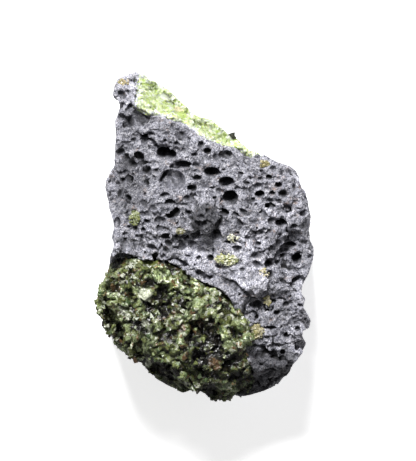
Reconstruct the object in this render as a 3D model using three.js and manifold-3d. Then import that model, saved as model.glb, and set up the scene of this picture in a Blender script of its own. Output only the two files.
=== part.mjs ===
// An olivine basalt specimen: a broken hand-sized piece of vesicular basalt. A rounded nodule of
// granular olivine fills its lower left, a second olivine mass shows as a band on the sloping upper
// right side, and loose olivine crystals are set in the rock. It lies on its cleft underside.
// Millimetres, +Z up. The broken front face looks up, and +Y runs along the specimen's length.
import * as THREE from "three";
import { ConvexGeometry } from "three/addons/geometries/ConvexGeometry.js";
import { LoftGeometry } from "three/addons/geometries/LoftGeometry.js";
import { ImprovedNoise } from "three/addons/math/ImprovedNoise.js";
import { mergeVertices } from "three/addons/utils/BufferGeometryUtils.js";
import Module from "manifold-3d";

const wasm = await Module();
wasm.setup();

// ---- Driving dimensions ----
const FRONT_HEIGHT = 36.5; // general level of the broken front face above the table
const FRONT_DOME = 0.0022; // fall of the front face away from its middle, per square millimetre
const SEAT_GAP = 0.3; // clearance between an olivine body and the rock around it
const FRONT_BLOCK = [70, 104, 20]; // block that carries the front face: width, length, depth
const ROCK_DETAIL = { points: 76, cell: 3.2 }; // points round the basalt's sides, grid of its front
const OLIVINE_DETAIL = { points: 50, cell: 4.6 }; // the same for the skin under the crystals
const OUTSIDE = 80; // a distance well clear of the specimen
const WEAR_OFFSETS = [-2, -1, 0, 1, 2]; // neighbours that smooth the outline away from the waist
const HIDDEN_HOLLOWS = { count: 12, apart: 5.5, radius: [0.8, 2.3], levels: [6, 30], seed: 5 };
const WIDE_HOLLOW = 3; // hollows wider than this get more sides
const OLIVINE_INSET = 1.5; // how far the skin under the olivine crystals is drawn in
const CRYSTAL_FLOOR = 4; // olivine crystals grow on the skin above this height
const NODULE_CRYSTALS = { spacing: 5.7, size: [5.6, 8.4], sink: 0.36, seed: 11 };
const BAND_CRYSTALS = { spacing: 5.6, size: [4.8, 6.6], sink: 0.42, seed: 23 };

// Largest outline of the specimen seen from above, at the waist.
const WAIST = [
  [-19.0, 46.3], [-16.2, 44.9], [-12.8, 43.4], [-9.3, 40.2], [-5.2, 36.7], [-3.8, 34.4],
  [0.5, 33.5], [4.3, 31.3], [7.1, 27.9], [9.4, 27.0], [11.9, 24.7], [16.4, 22.1], [21.4, 20.6],
  [24.6, 19.3], [26.2, 16.7], [28.7, 11.3], [28.1, 8.3], [29.7, 6.0], [29.1, 2.8], [28.1, 0.6],
  [29.9, -1.7], [30.3, -4.2], [29.3, -8.6], [28.7, -11.1], [26.6, -14.3], [26.6, -16.1],
  [27.7, -17.8], [27.3, -19.7], [29.7, -23.2], [29.3, -25.1], [26.8, -25.8], [26.8, -27.9],
  [28.1, -29.8], [27.3, -31.5], [23.9, -35.3], [22.0, -39.1], [20.5, -41.6], [16.9, -42.8],
  [11.3, -44.6], [9.4, -44.1], [7.1, -45.9], [2.4, -46.2], [0.4, -44.1], [-6.5, -43.5],
  [-10.3, -41.9], [-16.6, -37.2], [-20.4, -33.7], [-26.1, -28.3], [-28.7, -23.8],
  [-30.1, -19.4], [-29.8, -16.2], [-27.7, -11.8], [-26.5, -7.0], [-25.2, -1.0], [-25.5, 3.4],
  [-27.6, 14.2], [-27.1, 16.7], [-25.2, 19.3], [-24.6, 27.5], [-25.2, 32.6], [-24.2, 35.2],
  [-25.4, 37.0], [-25.8, 40.2], [-24.6, 44.0], [-21.7, 45.6],
];

// Lip of the front face, where it turns down into the sides.
const LIP = [
  [-19.4, 45.2], [-18.2, 38.6], [-15.5, 34.3], [-7.7, 32.6], [-4.3, 30.7], [-0.7, 27.6],
  [6.9, 24.8], [14.7, 21.7], [20.9, 19.6], [24.9, 17.0], [26.6, 12.2], [27.0, 8.4], [28.3, 5.4],
  [26.9, 0.6], [28.8, -3.8], [28.0, -9.6], [25.2, -13.6], [25.6, -16.4], [26.3, -19.4],
  [28.2, -24.0], [25.0, -26.6], [26.8, -30.2], [24.0, -34.2], [21.4, -32.9], [18.1, -31.8],
  [16.1, -30.3], [11.9, -29.6], [9.7, -34.7], [5.5, -40.3],
  [-5.7, -38.8], [-11.3, -36.0], [-16.7, -31.8], [-21.4, -27.3], [-25.3, -22.5],
  [-26.5, -17.5], [-25.6, -12.5], [-24.6, -8.5], [-23.8, -0.1], [-25.9, 13.3],
  [-24.0, 21.7], [-23.7, 31.8], [-22.8, 35.1], [-24.4, 38.5], [-23.9, 41.9], [-21.7, 44.4],
];

// Outlines of the two olivine masses; outside the rock they only need to clear it.
const NODULE = [
  [-26.2, -7.4], [-21.1, -6.0], [-15.5, -6.3], [-11.3, -6.9], [-7.1, -8.0], [-3.5, -10.8],
  [-0.1, -12.7], [4.1, -14.1], [7.1, -16.7], [8.0, -19.7], [9.9, -23.1], [11.9, -27.6],
  [10.5, -31.5], [12.5, -36.5], [10.8, -40.5], [8.5, -44.9], [5.5, -50.9], [-7.1, -49.7],
  [-18.3, -43.3], [-29.1, -34.1], [-34.9, -25.1], [-33.5, -18.5], [-29.4, -15.2], [-27.6, -11.5],
];
const BAND = [
  [-18.9, 50.0], [-11.7, 48.3], [-3.3, 41.6], [6.5, 35.5], [14.5, 28.5], [19.5, 22.3],
  [14.7, 21.8], [11.1, 23.4], [6.9, 24.8], [2.7, 26.2], [-0.7, 27.6], [-4.3, 30.7],
  [-7.7, 32.6], [-11.3, 33.2], [-15.5, 34.3], [-19.2, 36.3], [-19.6, 38.5], [-19.6, 43.0],
];
// How wide each olivine mass is inside the rock, level by level from the bottom.
const NODULE_LEVELS = [
  { height: 3, scale: 0.62 }, { height: 7, scale: 0.85 }, { height: 15, scale: 1.05 },
  { height: 24, scale: 1.08 }, { height: 32, scale: 1 }, { height: 48, scale: 1 },
];
const BAND_LEVELS = [
  { height: 8, scale: 1 }, { height: 14, scale: 1.06 }, { height: 24, scale: 1.08 },
  { height: 33, scale: 1 }, { height: 48, scale: 1 },
];

// Levels of the sides from the foot up: lip is the share of the way from the waist outline to
// the lip outline, teeth the share of the outline's own teeth.
const SIDE_RINGS = [
  { height: 0, lip: 0, scale: 0.87, teeth: 0 },
  { height: 3, lip: 0, scale: 0.94, teeth: 0 },
  { height: 7.5, lip: 0, scale: 0.975, teeth: 0.2 },
  { height: 12.5, lip: 0, scale: 1.006, teeth: 0.85 },
  { height: 17.5, lip: 0, scale: 1.01, teeth: 1 },
  { height: 23, lip: 0.2, scale: 1, teeth: 0.6 },
  { height: 29, lip: 0.55, scale: 1, teeth: 0.5 },
  { height: 34.5, lip: 0.95, scale: 1, teeth: 0.8 },
  { height: 46, lip: 1.15, scale: 1, teeth: 0.8 },
];

// Steps of the broken front face: an elliptical area lifted or dropped, with a soft edge.
const BASALT_STEPS = [
  { at: [-0.3, 6.0], size: [5.0, 7.6], turn: 8, lift: 4.6, soft: 0.6 }, // middle lump
  { at: [-2.5, -5.6], size: [25, 6.4], turn: -12, lift: -3.2, soft: 0.28 }, // shelf under it
  { at: [11.0, -8.5], size: [10, 5.8], turn: -30, lift: 2.2, soft: 0.5 }, // pale slab
  { at: [25.5, -6.9], size: [7.5, 10], turn: 12, lift: -4.2, soft: 0.35 }, // right-hand scoop
  { at: [19.5, -26.0], size: [13, 13], turn: 0, lift: -4.2, soft: 0.25 }, // lower right field
  { at: [11.6, 4.3], size: [6.0, 3.4], turn: -38, lift: 1.5, soft: 0.4 }, // raised flake
  { at: [-22.5, 40.7], size: [5.5, 7.0], turn: 0, lift: -2.4, soft: 0.4 }, // top knob
  { at: [-14.1, 28.1], size: [5.5, 3.6], turn: -35, lift: 1.4, soft: 0.5 }, // ridge near the top
  { at: [-24.0, 13.3], size: [5.0, 16], turn: 0, lift: -2.2, soft: 0.8 }, // worn left edge
];
const NODULE_STEPS = [
  { at: [-8.0, -27.0], size: [17, 15], turn: -20, lift: 2.4, soft: 0.9 }, // crown
  { at: [-7.0, -9.5], size: [20, 4.5], turn: -16, lift: -2.6, soft: 0.6 }, // sunk under the shelf
  { at: [-12.0, -22.5], size: [6.5, 1.8], turn: -14, lift: -2.4, soft: 0.8 }, // crack
  { at: [1.5, -27.5], size: [7.5, 2.0], turn: -16, lift: -2.6, soft: 0.8 }, // crack
  { at: [-9.0, -36.0], size: [8.0, 2.0], turn: -24, lift: -2.2, soft: 0.8 }, // crack
];

// Gas hollows of the front face: x, y, width, height, turn in degrees, depth.
const HOLLOWS = [
  [-17.8, 33.3, 5.6, 3.0, -27, 1.9], [-20.8, 32.3, 2.6, 3.0, 0, 2.2], [-16.9, 27.1, 1.9, 2.9, -20, 2.0],
  [-6.8, 28.7, 3.2, 1.9, -20, 1.1], [-11.1, 23.4, 4.6, 2.7, -12, 3.0], [6.3, 23.5, 2.6, 1.7, -20, 2.0],
  [11.9, 21.8, 2.8, 2.7, -10, 2.6], [-18.4, 22.7, 3.2, 2.2, -42, 2.2], [-6.6, 20.3, 5.4, 2.0, 9, 2.6],
  [-20.6, 20.3, 2.9, 2.4, -20, 2.0], [1.9, 18.4, 3.6, 2.5, -8, 2.8], [-9.0, 16.7, 6.4, 5.4, -20, 1.3],
  [-21.2, 16.3, 2.8, 2.0, -30, 1.8], [5.8, 15.6, 3.7, 2.5, 0, 2.8], [-11.3, 12.0, 2.4, 1.5, 10, 1.6],
  [6.9, 11.6, 3.5, 3.0, 0, 2.8], [22.3, 17.6, 3.3, 2.5, -20, 1.3], [23.4, 8.1, 3.6, 2.5, 0, 1.9],
  [21.0, 4.2, 2.8, 2.0, -8, 2.4], [-17.1, 9.8, 2.4, 1.9, -20, 1.1], [-9.9, 10.0, 2.4, 1.5, 10, 2.0],
  [-12.6, 4.8, 2.7, 2.3, 0, 1.3], [-5.9, 4.7, 2.7, 2.1, 0, 1.4], [-2.6, 9.1, 2.8, 2.1, 0, 1.3],
  [5.1, 7.3, 2.6, 1.7, -20, 1.5], [-24.5, 4.5, 1.8, 2.6, 0, 1.6], [3.2, 1.3, 2.8, 2.4, -20, 2.2],
  [-0.5, -3.5, 2.8, 1.7, -15, 1.2], [-23.2, -5.5, 4.4, 2.1, 10, 2.8], [14.6, -4.9, 3.5, 2.5, 0, 1.7],
  [23.7, -1.8, 2.6, 1.5, 10, 2.0], [27.4, -1.3, 2.9, 1.9, 0, 1.2], [25.4, -5.5, 2.4, 2.4, 0, 2.0],
  [17.8, -6.9, 3.4, 1.8, 40, 2.0], [25.5, -11.5, 3.7, 1.6, 30, 1.8], [20.2, -29.9, 2.8, 1.7, 0, 1.2],
];
// Cracks under the broken ledges: x and y of both ends, width, depth.
const CRACKS = [
  { from: [-10.5, -0.8], to: [3.6, 2.6], width: 1.5, depth: 2.4 }, // under the middle lump
  { from: [-16.5, -4.6], to: [-6.0, -6.6], width: 1.5, depth: 2.4 }, // shelf above the nodule
  { from: [-7.0, -6.6], to: [5.5, -14.0], width: 1.2, depth: 2.0 }, // shelf above the nodule
  { from: [9.0, -16.0], to: [16.5, -20.0], width: 1.3, depth: 2.4 }, // under the pale slab
  { from: [9.6, 3.0], to: [15.0, -0.6], width: 1.0, depth: 1.6 }, // under the raised flake
  { from: [17.0, -33.8], to: [22.4, -32.6], width: 1.4, depth: 2.2 }, // above the shaded end
];
// Gas hollows in the cleft foot: x, y, diameter.
const FOOT_HOLLOWS = [
  [-12.0, 16.0, 4.6], [9.0, 12.5, 3.2], [-9.5, -9.0, 2.6], [12.5, -14.5, 4.0], [-2.5, 26.5, 3.4],
];

// Olivine crystals set in the basalt: place, length, width and turn in degrees.
const CRYSTALS = [
  { at: [-19.3, 5.2], size: [4.4, 3.6], turn: -60 },
  { at: [6.8, -6.2], size: [6.0, 3.7], turn: 4 },
  { at: [8.2, -0.2], size: [3.0, 1.9], turn: 0 },
  { at: [16.7, -9.7], size: [2.5, 1.9], turn: -30 },
  { at: [-6.6, 1.8], size: [2.9, 1.9], turn: -10 },
  { at: [17.4, -17.4], size: [2.6, 2.2], turn: 60 },
  { at: [14.8, -26.2], size: [4.2, 3.4], turn: 55 },
  { at: [16.6, 20.3], size: [3.0, 1.9], turn: -25 },
  { at: [-22.3, 43.2], size: [3.0, 1.8], turn: -10 },
];
const CRYSTAL_DEPTH = 0.9; // thickness of a set crystal, as a share of its width
const CRYSTAL_SINK = 0.05; // how far its middle lies under the rock's skin, as a share of its width

// Waves of the broken surface on the front face and on the sides.
const GRID_SHIFT = { share: 0.3, slices: [7.3, 2.9] }; // how far the front's grid points stray
const FRONT_WAVES = [
  { length: 13, height: 0.9 }, { length: 5.5, height: 0.7 }, { length: 2.6, height: 0.3 },
];
const SIDE_WAVES = [
  { length: 17, height: 3.2 }, { length: 8, height: 2.0 }, { length: 3.7, height: 0.8 },
];

const noise = new ImprovedNoise();

// Numbers from 0 to 1 in a fixed order for one seed.
function randomFrom(seed) {
  let state = seed;
  return () => {
    state = (Math.imul(state, 1664525) + 1013904223) >>> 0;
    return state / 4294967296;
  };
}

// ---- Solids ----

function solidFrom(geometry) {
  const bare = new THREE.BufferGeometry();
  bare.setAttribute("position", geometry.attributes.position);
  bare.setIndex(geometry.index);
  const merged = mergeVertices(bare, 1e-4);
  const mesh = new wasm.Mesh({
    numProp: 3,
    vertProperties: merged.attributes.position.array,
    triVerts: new Uint32Array(merged.index.array),
  });
  return new wasm.Manifold(mesh);
}

function geometryFrom(solid) {
  const { vertProperties, triVerts } = solid.getMesh();
  const geometry = new THREE.BufferGeometry();
  geometry.setAttribute("position", new THREE.BufferAttribute(vertProperties, 3));
  geometry.setIndex(new THREE.BufferAttribute(triVerts, 1));
  geometry.computeVertexNormals();
  return geometry;
}

function join(solids) {
  return solids.reduce((whole, solid) => whole.add(solid));
}

// The largest body of a solid, without the loose chips that a cut leaves.
function mainBody(solid) {
  return solid.decompose().sort((a, b) => b.volume() - a.volume())[0];
}

// ---- The rock's skin ----

// Distance from the origin to a closed outline, in the direction of an angle.
function reach(outline, angle) {
  const [dx, dy] = [Math.cos(angle), Math.sin(angle)];
  let farthest = 0;
  outline.forEach(([ax, ay], i) => {
    const [bx, by] = outline[(i + 1) % outline.length];
    const [ex, ey] = [bx - ax, by - ay];
    const cross = dx * ey - dy * ex;
    const distance = (ax * ey - ay * ex) / cross;
    const share = (ax * dy - ay * dx) / cross;
    if (distance > 0 && share >= 0 && share <= 1) farthest = Math.max(farthest, distance);
  });
  return farthest;
}

function insideOutline(outline, x, y) {
  let inside = false;
  outline.forEach(([ax, ay], i) => {
    const [bx, by] = outline[(i + 1) % outline.length];
    if (ay > y !== by > y && x < ax + ((bx - ax) * (y - ay)) / (by - ay)) inside = !inside;
  });
  return inside;
}

// An outline as evenly spaced points.
function spaced(outline, count) {
  const path = new THREE.Shape(outline.map(([x, y]) => new THREE.Vector2(x, y)));
  path.closePath();
  return path.getSpacedPoints(count).slice(0, count);
}

// An outline's points, each drawn to the mean of its neighbours but for the given share of its teeth.
function toothed(outline, count, teeth) {
  const points = spaced(outline, count);
  return points.map((point, i) => {
    const mean = new THREE.Vector2();
    WEAR_OFFSETS.forEach((offset) => mean.add(points[(i + offset + count) % count]));
    return mean.divideScalar(WEAR_OFFSETS.length).lerp(point, teeth);
  });
}

// Roughness of broken rock, from long waves down to small chips.
function roughness(point, waves) {
  const { x, y, z } = point;
  return waves.reduce(
    (sum, { length, height }) => sum + height * noise.noise(x / length, y / length, z / length),
    0,
  );
}

// One level of the sides: between the waist and the lip, drawn in by inset.
function sideRing({ height, lip, scale, teeth }, count, inset) {
  const waist = toothed(WAIST, count, teeth);
  const rim = toothed(LIP, count, teeth);
  return waist.map((point, i) => {
    const flat = point.lerp(rim[i], lip).multiplyScalar(scale);
    const place = new THREE.Vector3(flat.x, flat.y, height);
    const moved = flat.length() + roughness(place, SIDE_WAVES) * (1 - teeth);
    const limit = reach(WAIST, Math.atan2(flat.y, flat.x)) * Math.max(scale, 1);
    flat.setLength(Math.min(moved, limit) - inset);
    return new THREE.Vector3(flat.x, flat.y, height);
  }).reverse();
}

function stepLift({ at, size, turn, lift, soft }, x, y) {
  const angle = THREE.MathUtils.degToRad(turn);
  const [dx, dy] = [x - at[0], y - at[1]];
  const along = (dx * Math.cos(angle) + dy * Math.sin(angle)) / size[0];
  const across = (dy * Math.cos(angle) - dx * Math.sin(angle)) / size[1];
  return lift * (1 - THREE.MathUtils.smoothstep(Math.hypot(along, across), 1 - soft, 1));
}

function frontHeight(steps, x, y) {
  const level = FRONT_HEIGHT - FRONT_DOME * (x * x + 0.5 * y * y);
  return steps.reduce((height, step) => height + stepLift(step, x, y), level);
}

// A block whose top is the broken front face.
function frontBlock(steps, cell, inset) {
  const [width, length, depth] = FRONT_BLOCK;
  const block = new THREE.BoxGeometry(
    width, length, depth, Math.round(width / cell), Math.round(length / cell), 1,
  );
  const position = block.attributes.position;
  for (let i = 0; i < position.count; i += 1) {
    const point = new THREE.Vector3().fromBufferAttribute(position, i);
    if (point.z < 0) continue;
    point.z = 0;
    const [sideways, lengthways] = GRID_SHIFT.slices.map((slice) => (
      GRID_SHIFT.share * cell * noise.noise(point.x / cell, point.y / cell, slice)
    ));
    point.x += sideways;
    point.y += lengthways;
    const height = frontHeight(steps, point.x, point.y) + roughness(point, FRONT_WAVES) - inset;
    position.setXYZ(i, point.x, point.y, height);
  }
  return solidFrom(block);
}

// The closed skin of the whole specimen.
function skinSolid(steps, { points, cell }, inset) {
  const rings = SIDE_RINGS.map((row) => sideRing(row, points, inset));
  const sides = solidFrom(new LoftGeometry(rings, { capStart: true, capEnd: true }));
  return sides.intersect(frontBlock(steps, cell, inset));
}

// Where a ray meets the skin, or null.
function hitSkin(skinMesh, origin, direction) {
  const hits = new THREE.Raycaster(origin, direction.clone().normalize()).intersectObject(skinMesh);
  return hits.length ? hits[0].point : null;
}

function frontPoint(skinMesh, x, y) {
  return hitSkin(skinMesh, new THREE.Vector3(x, y, OUTSIDE), new THREE.Vector3(0, 0, -1));
}

// ---- Hollows and cracks ----

function ellipsoid(centre, radii, turn) {
  const wide = Math.max(...radii) > WIDE_HOLLOW / 2;
  const geometry = new THREE.SphereGeometry(1, wide ? 8 : 6, wide ? 4 : 3).rotateX(Math.PI / 2);
  geometry.scale(...radii).rotateZ(THREE.MathUtils.degToRad(turn));
  geometry.translate(centre.x, centre.y, centre.z);
  return solidFrom(geometry);
}

function frontHollow(skinMesh, [x, y, width, height, turn, depth]) {
  const centre = frontPoint(skinMesh, x, y);
  centre.z -= 0.2 * depth;
  return ellipsoid(centre, [width / 2, height / 2, depth], turn);
}

function crack(skinMesh, { from, to, width, depth }) {
  const centre = frontPoint(skinMesh, (from[0] + to[0]) / 2, (from[1] + to[1]) / 2);
  const turn = THREE.MathUtils.radToDeg(Math.atan2(to[1] - from[1], to[0] - from[0]));
  const length = Math.hypot(to[0] - from[0], to[1] - from[1]);
  centre.z -= 0.3 * depth;
  return ellipsoid(centre, [length / 2, width / 2, depth], turn);
}

function footHollow([x, y, diameter]) {
  const radius = diameter / 2;
  return ellipsoid(new THREE.Vector3(x, y, 0.1 * radius), [radius, radius, radius * 0.8], 0);
}

// Hollows scattered over the sides, clear of each other and of the olivine masses.
function sideHollows(skinMesh) {
  const { count, apart, radius: [smallest, largest], levels: [lowest, highest], seed } = HIDDEN_HOLLOWS;
  const random = randomFrom(seed);
  const made = [];
  const centres = [];
  while (made.length < count) {
    const angle = random() * 2 * Math.PI;
    const height = lowest + (highest - lowest) * random();
    const radius = smallest + (largest - smallest) * random() ** 2;
    const outside = new THREE.Vector3(OUTSIDE * Math.cos(angle), OUTSIDE * Math.sin(angle), height);
    const inward = new THREE.Vector3(-outside.x, -outside.y, 0);
    const centre = hitSkin(skinMesh, outside, inward);
    const onOlivine = [NODULE, BAND].some((outline) => insideOutline(outline, centre.x, centre.y));
    if (onOlivine || centres.some((other) => other.distanceTo(centre) < apart)) continue;
    centres.push(centre);
    made.push(ellipsoid(centre, [radius, radius, radius * 1.15], 0));
  }
  return made;
}

// ---- Olivine ----

// One level of an olivine mass: its outline scaled about its middle, uneven, and moved out by
// clearance. The outlines run clockwise, so their left side is outside.
function massRing(outline, scale, clearance, height) {
  const middle = new THREE.Box2().setFromPoints(outline.map(([x, y]) => new THREE.Vector2(x, y)));
  const centre = middle.getCenter(new THREE.Vector2());
  return outline.map(([x, y], i) => {
    const [px, py] = outline[(i + outline.length - 1) % outline.length];
    const [nx, ny] = outline[(i + 1) % outline.length];
    const along = new THREE.Vector2(nx - px, ny - py).normalize();
    const out = clearance + 0.7 * noise.noise(x / 6, y / 6, height / 6);
    const [sx, sy] = [centre.x + (x - centre.x) * scale, centre.y + (y - centre.y) * scale];
    return new THREE.Vector3(sx - along.y * out, sy + along.x * out, height);
  });
}

// The room that an olivine mass takes in the rock, made larger by clearance for its seat.
function mass(outline, levels, clearance) {
  const rings = levels.map(({ height, scale }, i) => {
    const end = i === 0 ? -clearance : i === levels.length - 1 ? clearance : 0;
    return massRing(outline, scale, clearance, height + end).reverse();
  });
  return solidFrom(new LoftGeometry(rings, { capStart: true, capEnd: true }));
}

// A crystal with flat faces: the hull of points spread over an ellipsoid.
function crystal(centre, radii, turn, random, corners) {
  const points = Array.from({ length: corners }, (_, i) => {
    const z = 1 - (2 * i + 1) / corners;
    const angle = i * 2.4 + random();
    const ring = Math.sqrt(1 - z * z);
    const far = 0.82 + 0.3 * random();
    return new THREE.Vector3(ring * Math.cos(angle), ring * Math.sin(angle), z).multiplyScalar(far);
  });
  const geometry = new ConvexGeometry(points);
  geometry.rotateX(random() * Math.PI).rotateY(random() * Math.PI);
  geometry.scale(...radii).rotateZ(THREE.MathUtils.degToRad(turn));
  geometry.translate(centre.x, centre.y, centre.z);
  return solidFrom(geometry);
}

// Crystals that cover the part of a skin inside an outline.
function crystalCrust(skin, outline, { spacing, size, sink, seed }) {
  const random = randomFrom(seed);
  const normal = new THREE.Vector3();
  const chosen = [];
  const made = [];
  const { position, normal: normals } = skin.attributes;
  for (let i = 0; i < position.count; i += 1) {
    const point = new THREE.Vector3().fromBufferAttribute(position, i);
    if (point.z < CRYSTAL_FLOOR || !insideOutline(outline, point.x, point.y)) continue;
    if (chosen.some((other) => other.distanceTo(point) < spacing)) continue;
    chosen.push(point);
    const radius = (size[0] + (size[1] - size[0]) * random()) / 2;
    const centre = point.clone().addScaledVector(normal.fromBufferAttribute(normals, i), -sink * radius);
    made.push(crystal(centre, [radius, radius * 0.9, radius * 0.8], 360 * random(), random, 10));
  }
  return made;
}

// An olivine mass: its own skin, covered with crystals, inside the room that the rock leaves it.
function olivineMass(outline, levels, steps, crust) {
  const core = skinSolid(steps, OLIVINE_DETAIL, OLIVINE_INSET);
  const covered = join([core, ...crystalCrust(geometryFrom(core), outline, crust)]);
  return mainBody(covered.intersect(mass(outline, levels, 0)));
}

// A single crystal set in the basalt, made larger by clearance for its pocket.
function setCrystal(skinMesh, { at, size, turn }, index, clearance) {
  const random = randomFrom(100 + index);
  const [length, width] = size;
  const centre = frontPoint(skinMesh, ...at);
  centre.z -= CRYSTAL_SINK * width;
  const radii = [length, width, width * CRYSTAL_DEPTH].map((side) => side / 2 + clearance);
  return crystal(centre, radii, turn, random, 14);
}

// ---- The specimen ----

const rock = skinSolid(BASALT_STEPS, ROCK_DETAIL, 0);
const skinMesh = new THREE.Mesh(geometryFrom(rock), new THREE.MeshBasicMaterial());

const pockets = CRYSTALS.map((row, i) => setCrystal(skinMesh, row, i, SEAT_GAP));
const cuts = [
  mass(NODULE, NODULE_LEVELS, SEAT_GAP),
  mass(BAND, BAND_LEVELS, SEAT_GAP),
  ...pockets,
  ...HOLLOWS.map((row) => frontHollow(skinMesh, row)),
  ...CRACKS.map((row) => crack(skinMesh, row)),
  ...FOOT_HOLLOWS.map(footHollow),
  ...sideHollows(skinMesh),
];
const basalt = mainBody(rock.subtract(join(cuts)));
const nodule = olivineMass(NODULE, NODULE_LEVELS, NODULE_STEPS, NODULE_CRYSTALS);
const band = olivineMass(BAND, BAND_LEVELS, [], BAND_CRYSTALS);
const crystals = CRYSTALS.map((row, i) => setCrystal(skinMesh, row, i, 0));

// ---- Materials and nodes ----

function stone(color, roughness) {
  return new THREE.MeshStandardMaterial({ color, roughness, metalness: 0, flatShading: true });
}

const basaltGrey = stone("#6f6e73", 0.9);
const noduleGreen = stone("#6b7247", 0.45);
const bandGreen = stone("#b9c98a", 0.4);
const crystalGreen = stone("#a9a768", 0.4);

const specimen = new THREE.Group();

function addNode(name, solid, material) {
  const mesh = new THREE.Mesh(geometryFrom(solid), material);
  mesh.name = name;
  specimen.add(mesh);
}

addNode("basalt_matrix", basalt, basaltGrey);
addNode("olivine_nodule", nodule, noduleGreen);
addNode("olivine_band", band, bandGreen);
crystals.forEach((solid, i) => addNode(`olivine_crystal_${i + 1}`, solid, crystalGreen));

// The origin is under the middle of the specimen, on the table.
const extent = new THREE.Box3().setFromObject(specimen);
const middle = extent.getCenter(new THREE.Vector3());
specimen.position.set(-middle.x, -middle.y, -extent.min.z);

export default specimen;
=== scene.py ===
# %% [markdown]
# # An olivine basalt specimen
#
# This is a hand-sized piece of lava. The grey rock is basalt, full of round gas hollows. While it was
# still liquid it tore lumps of green rock, made almost only of olivine grains, from deep in the earth.
# One such lump fills the lower left, another shows as a pale green band along the sloping upper right
# side, and single olivine crystals are scattered between them.
#
# The solid model gives every piece its place and size. This lesson gives each one its real surface.
# It starts by loading that model and clearing away Blender's own cube, lamp and camera. It keeps the
# model's box, because nothing made here may outgrow it.

# %% Load the solid model
import math

import bmesh
import bpy
import numpy as np
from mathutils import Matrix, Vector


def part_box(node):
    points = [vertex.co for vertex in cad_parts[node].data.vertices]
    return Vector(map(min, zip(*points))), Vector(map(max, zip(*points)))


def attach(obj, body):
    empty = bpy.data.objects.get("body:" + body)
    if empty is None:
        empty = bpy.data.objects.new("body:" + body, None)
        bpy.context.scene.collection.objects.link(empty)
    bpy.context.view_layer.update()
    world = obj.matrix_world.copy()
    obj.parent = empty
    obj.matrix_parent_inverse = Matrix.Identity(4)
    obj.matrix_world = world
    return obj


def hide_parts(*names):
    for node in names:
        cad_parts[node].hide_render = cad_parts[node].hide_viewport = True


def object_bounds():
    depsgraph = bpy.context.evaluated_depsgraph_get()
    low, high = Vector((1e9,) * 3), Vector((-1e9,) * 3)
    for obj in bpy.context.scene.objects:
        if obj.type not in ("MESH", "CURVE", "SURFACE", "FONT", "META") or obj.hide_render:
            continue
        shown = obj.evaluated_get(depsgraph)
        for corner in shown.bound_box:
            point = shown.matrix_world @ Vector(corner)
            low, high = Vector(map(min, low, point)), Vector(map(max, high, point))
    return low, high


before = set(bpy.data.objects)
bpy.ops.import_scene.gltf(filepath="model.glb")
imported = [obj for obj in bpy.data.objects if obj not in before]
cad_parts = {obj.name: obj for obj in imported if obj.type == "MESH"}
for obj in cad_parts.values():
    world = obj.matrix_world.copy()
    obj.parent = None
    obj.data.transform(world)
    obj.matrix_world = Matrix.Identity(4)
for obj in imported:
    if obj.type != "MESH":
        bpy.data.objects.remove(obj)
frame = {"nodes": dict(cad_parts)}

import openvdb
from mathutils import Vector

for name in ("Cube", "Light", "Camera"):
    if name in bpy.data.objects:
        bpy.data.objects.remove(bpy.data.objects[name])
cad_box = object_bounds()
MM = 0.001
low_mm, high_mm = (np.array(corner) / MM for corner in cad_box)
print("nodes:", ", ".join(frame["nodes"]))
print("box in mm:", low_mm.round(1), high_mm.round(1))

# %% [markdown]
# ## A rock as a field of distances
#
# A broken, pitted rock is hard to model face by face: every hollow would need its own cut, and every
# chip its own edge. It is easier as a *signed distance field*. That is a block of small cells, each
# holding its distance to the surface: below zero inside the rock, above zero in the air. Cutting a
# hollow is then one `maximum`, roughness is one addition, and softening is a blur. At the end the
# surface is read off where the field crosses zero.
#
# Blender ships with OpenVDB, which turns a mesh into such a field and back.

# %% Cells of the field
CELL = 0.30  # width of a cell, in millimetres
MARGIN = 3.0  # air left around the solid, in millimetres
ORIGIN = np.floor(low_mm - MARGIN)
SHAPE = tuple(np.ceil((high_mm + MARGIN - ORIGIN) / CELL).astype(int))
BAND = 9  # cells on each side of a surface that know their distance to it


def laid_along(axis, values):
    """Values laid along one axis of the block of cells."""
    return values.reshape([-1 if k == axis else 1 for k in range(3)])


X, Y, Z = (
    laid_along(axis, ORIGIN[axis] + CELL * np.arange(count, dtype=np.float32))
    for axis, count in enumerate(SHAPE)
)
print("cells:", SHAPE, "in all", math.prod(SHAPE))


def node_triangles(name):
    """The corner points, in millimetres, and the triangles of a solid."""
    mesh = frame["nodes"][name].data
    mesh.calc_loop_triangles()
    points = np.empty(3 * len(mesh.vertices), np.float32)
    mesh.vertices.foreach_get("co", points)
    triangles = np.empty(3 * len(mesh.loop_triangles), np.int32)
    mesh.loop_triangles.foreach_get("vertices", triangles)
    return points.reshape(-1, 3) / MM, triangles.reshape(-1, 3)


def distance_field(name):
    """Distance of every cell to a solid's surface, below zero inside it."""
    points, triangles = node_triangles(name)
    step = openvdb.createLinearTransform(voxelSize=CELL)
    grid = openvdb.FloatGrid.createLevelSetFromPolygons(
        (points - ORIGIN).astype(np.float32),
        triangles=triangles.astype(np.uint32),
        transform=step,
        halfWidth=BAND,
    )
    field = np.full(SHAPE, BAND * CELL, np.float32)
    grid.copyToArray(field)
    return field


basalt_field = distance_field("basalt_matrix")
print("basalt volume in cm3:", round(float((basalt_field < 0).sum()) * CELL**3 / 1000, 1))

# %% [markdown]
# ## Softening and roughening
#
# Three tools shape the field. `blurred` averages each cell with its neighbours, which takes the flat
# facets off the solid. `waves` fills the block with smooth random swells of one size: coarse ones are
# the long bends of a break, fine ones its grain. `ledges` sorts such swells into steps, because
# basalt breaks in small ledges rather than in soft hills. Both take a size in millimetres and a
# *seed*: the same seed always gives the same swells, and another seed gives others.

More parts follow.
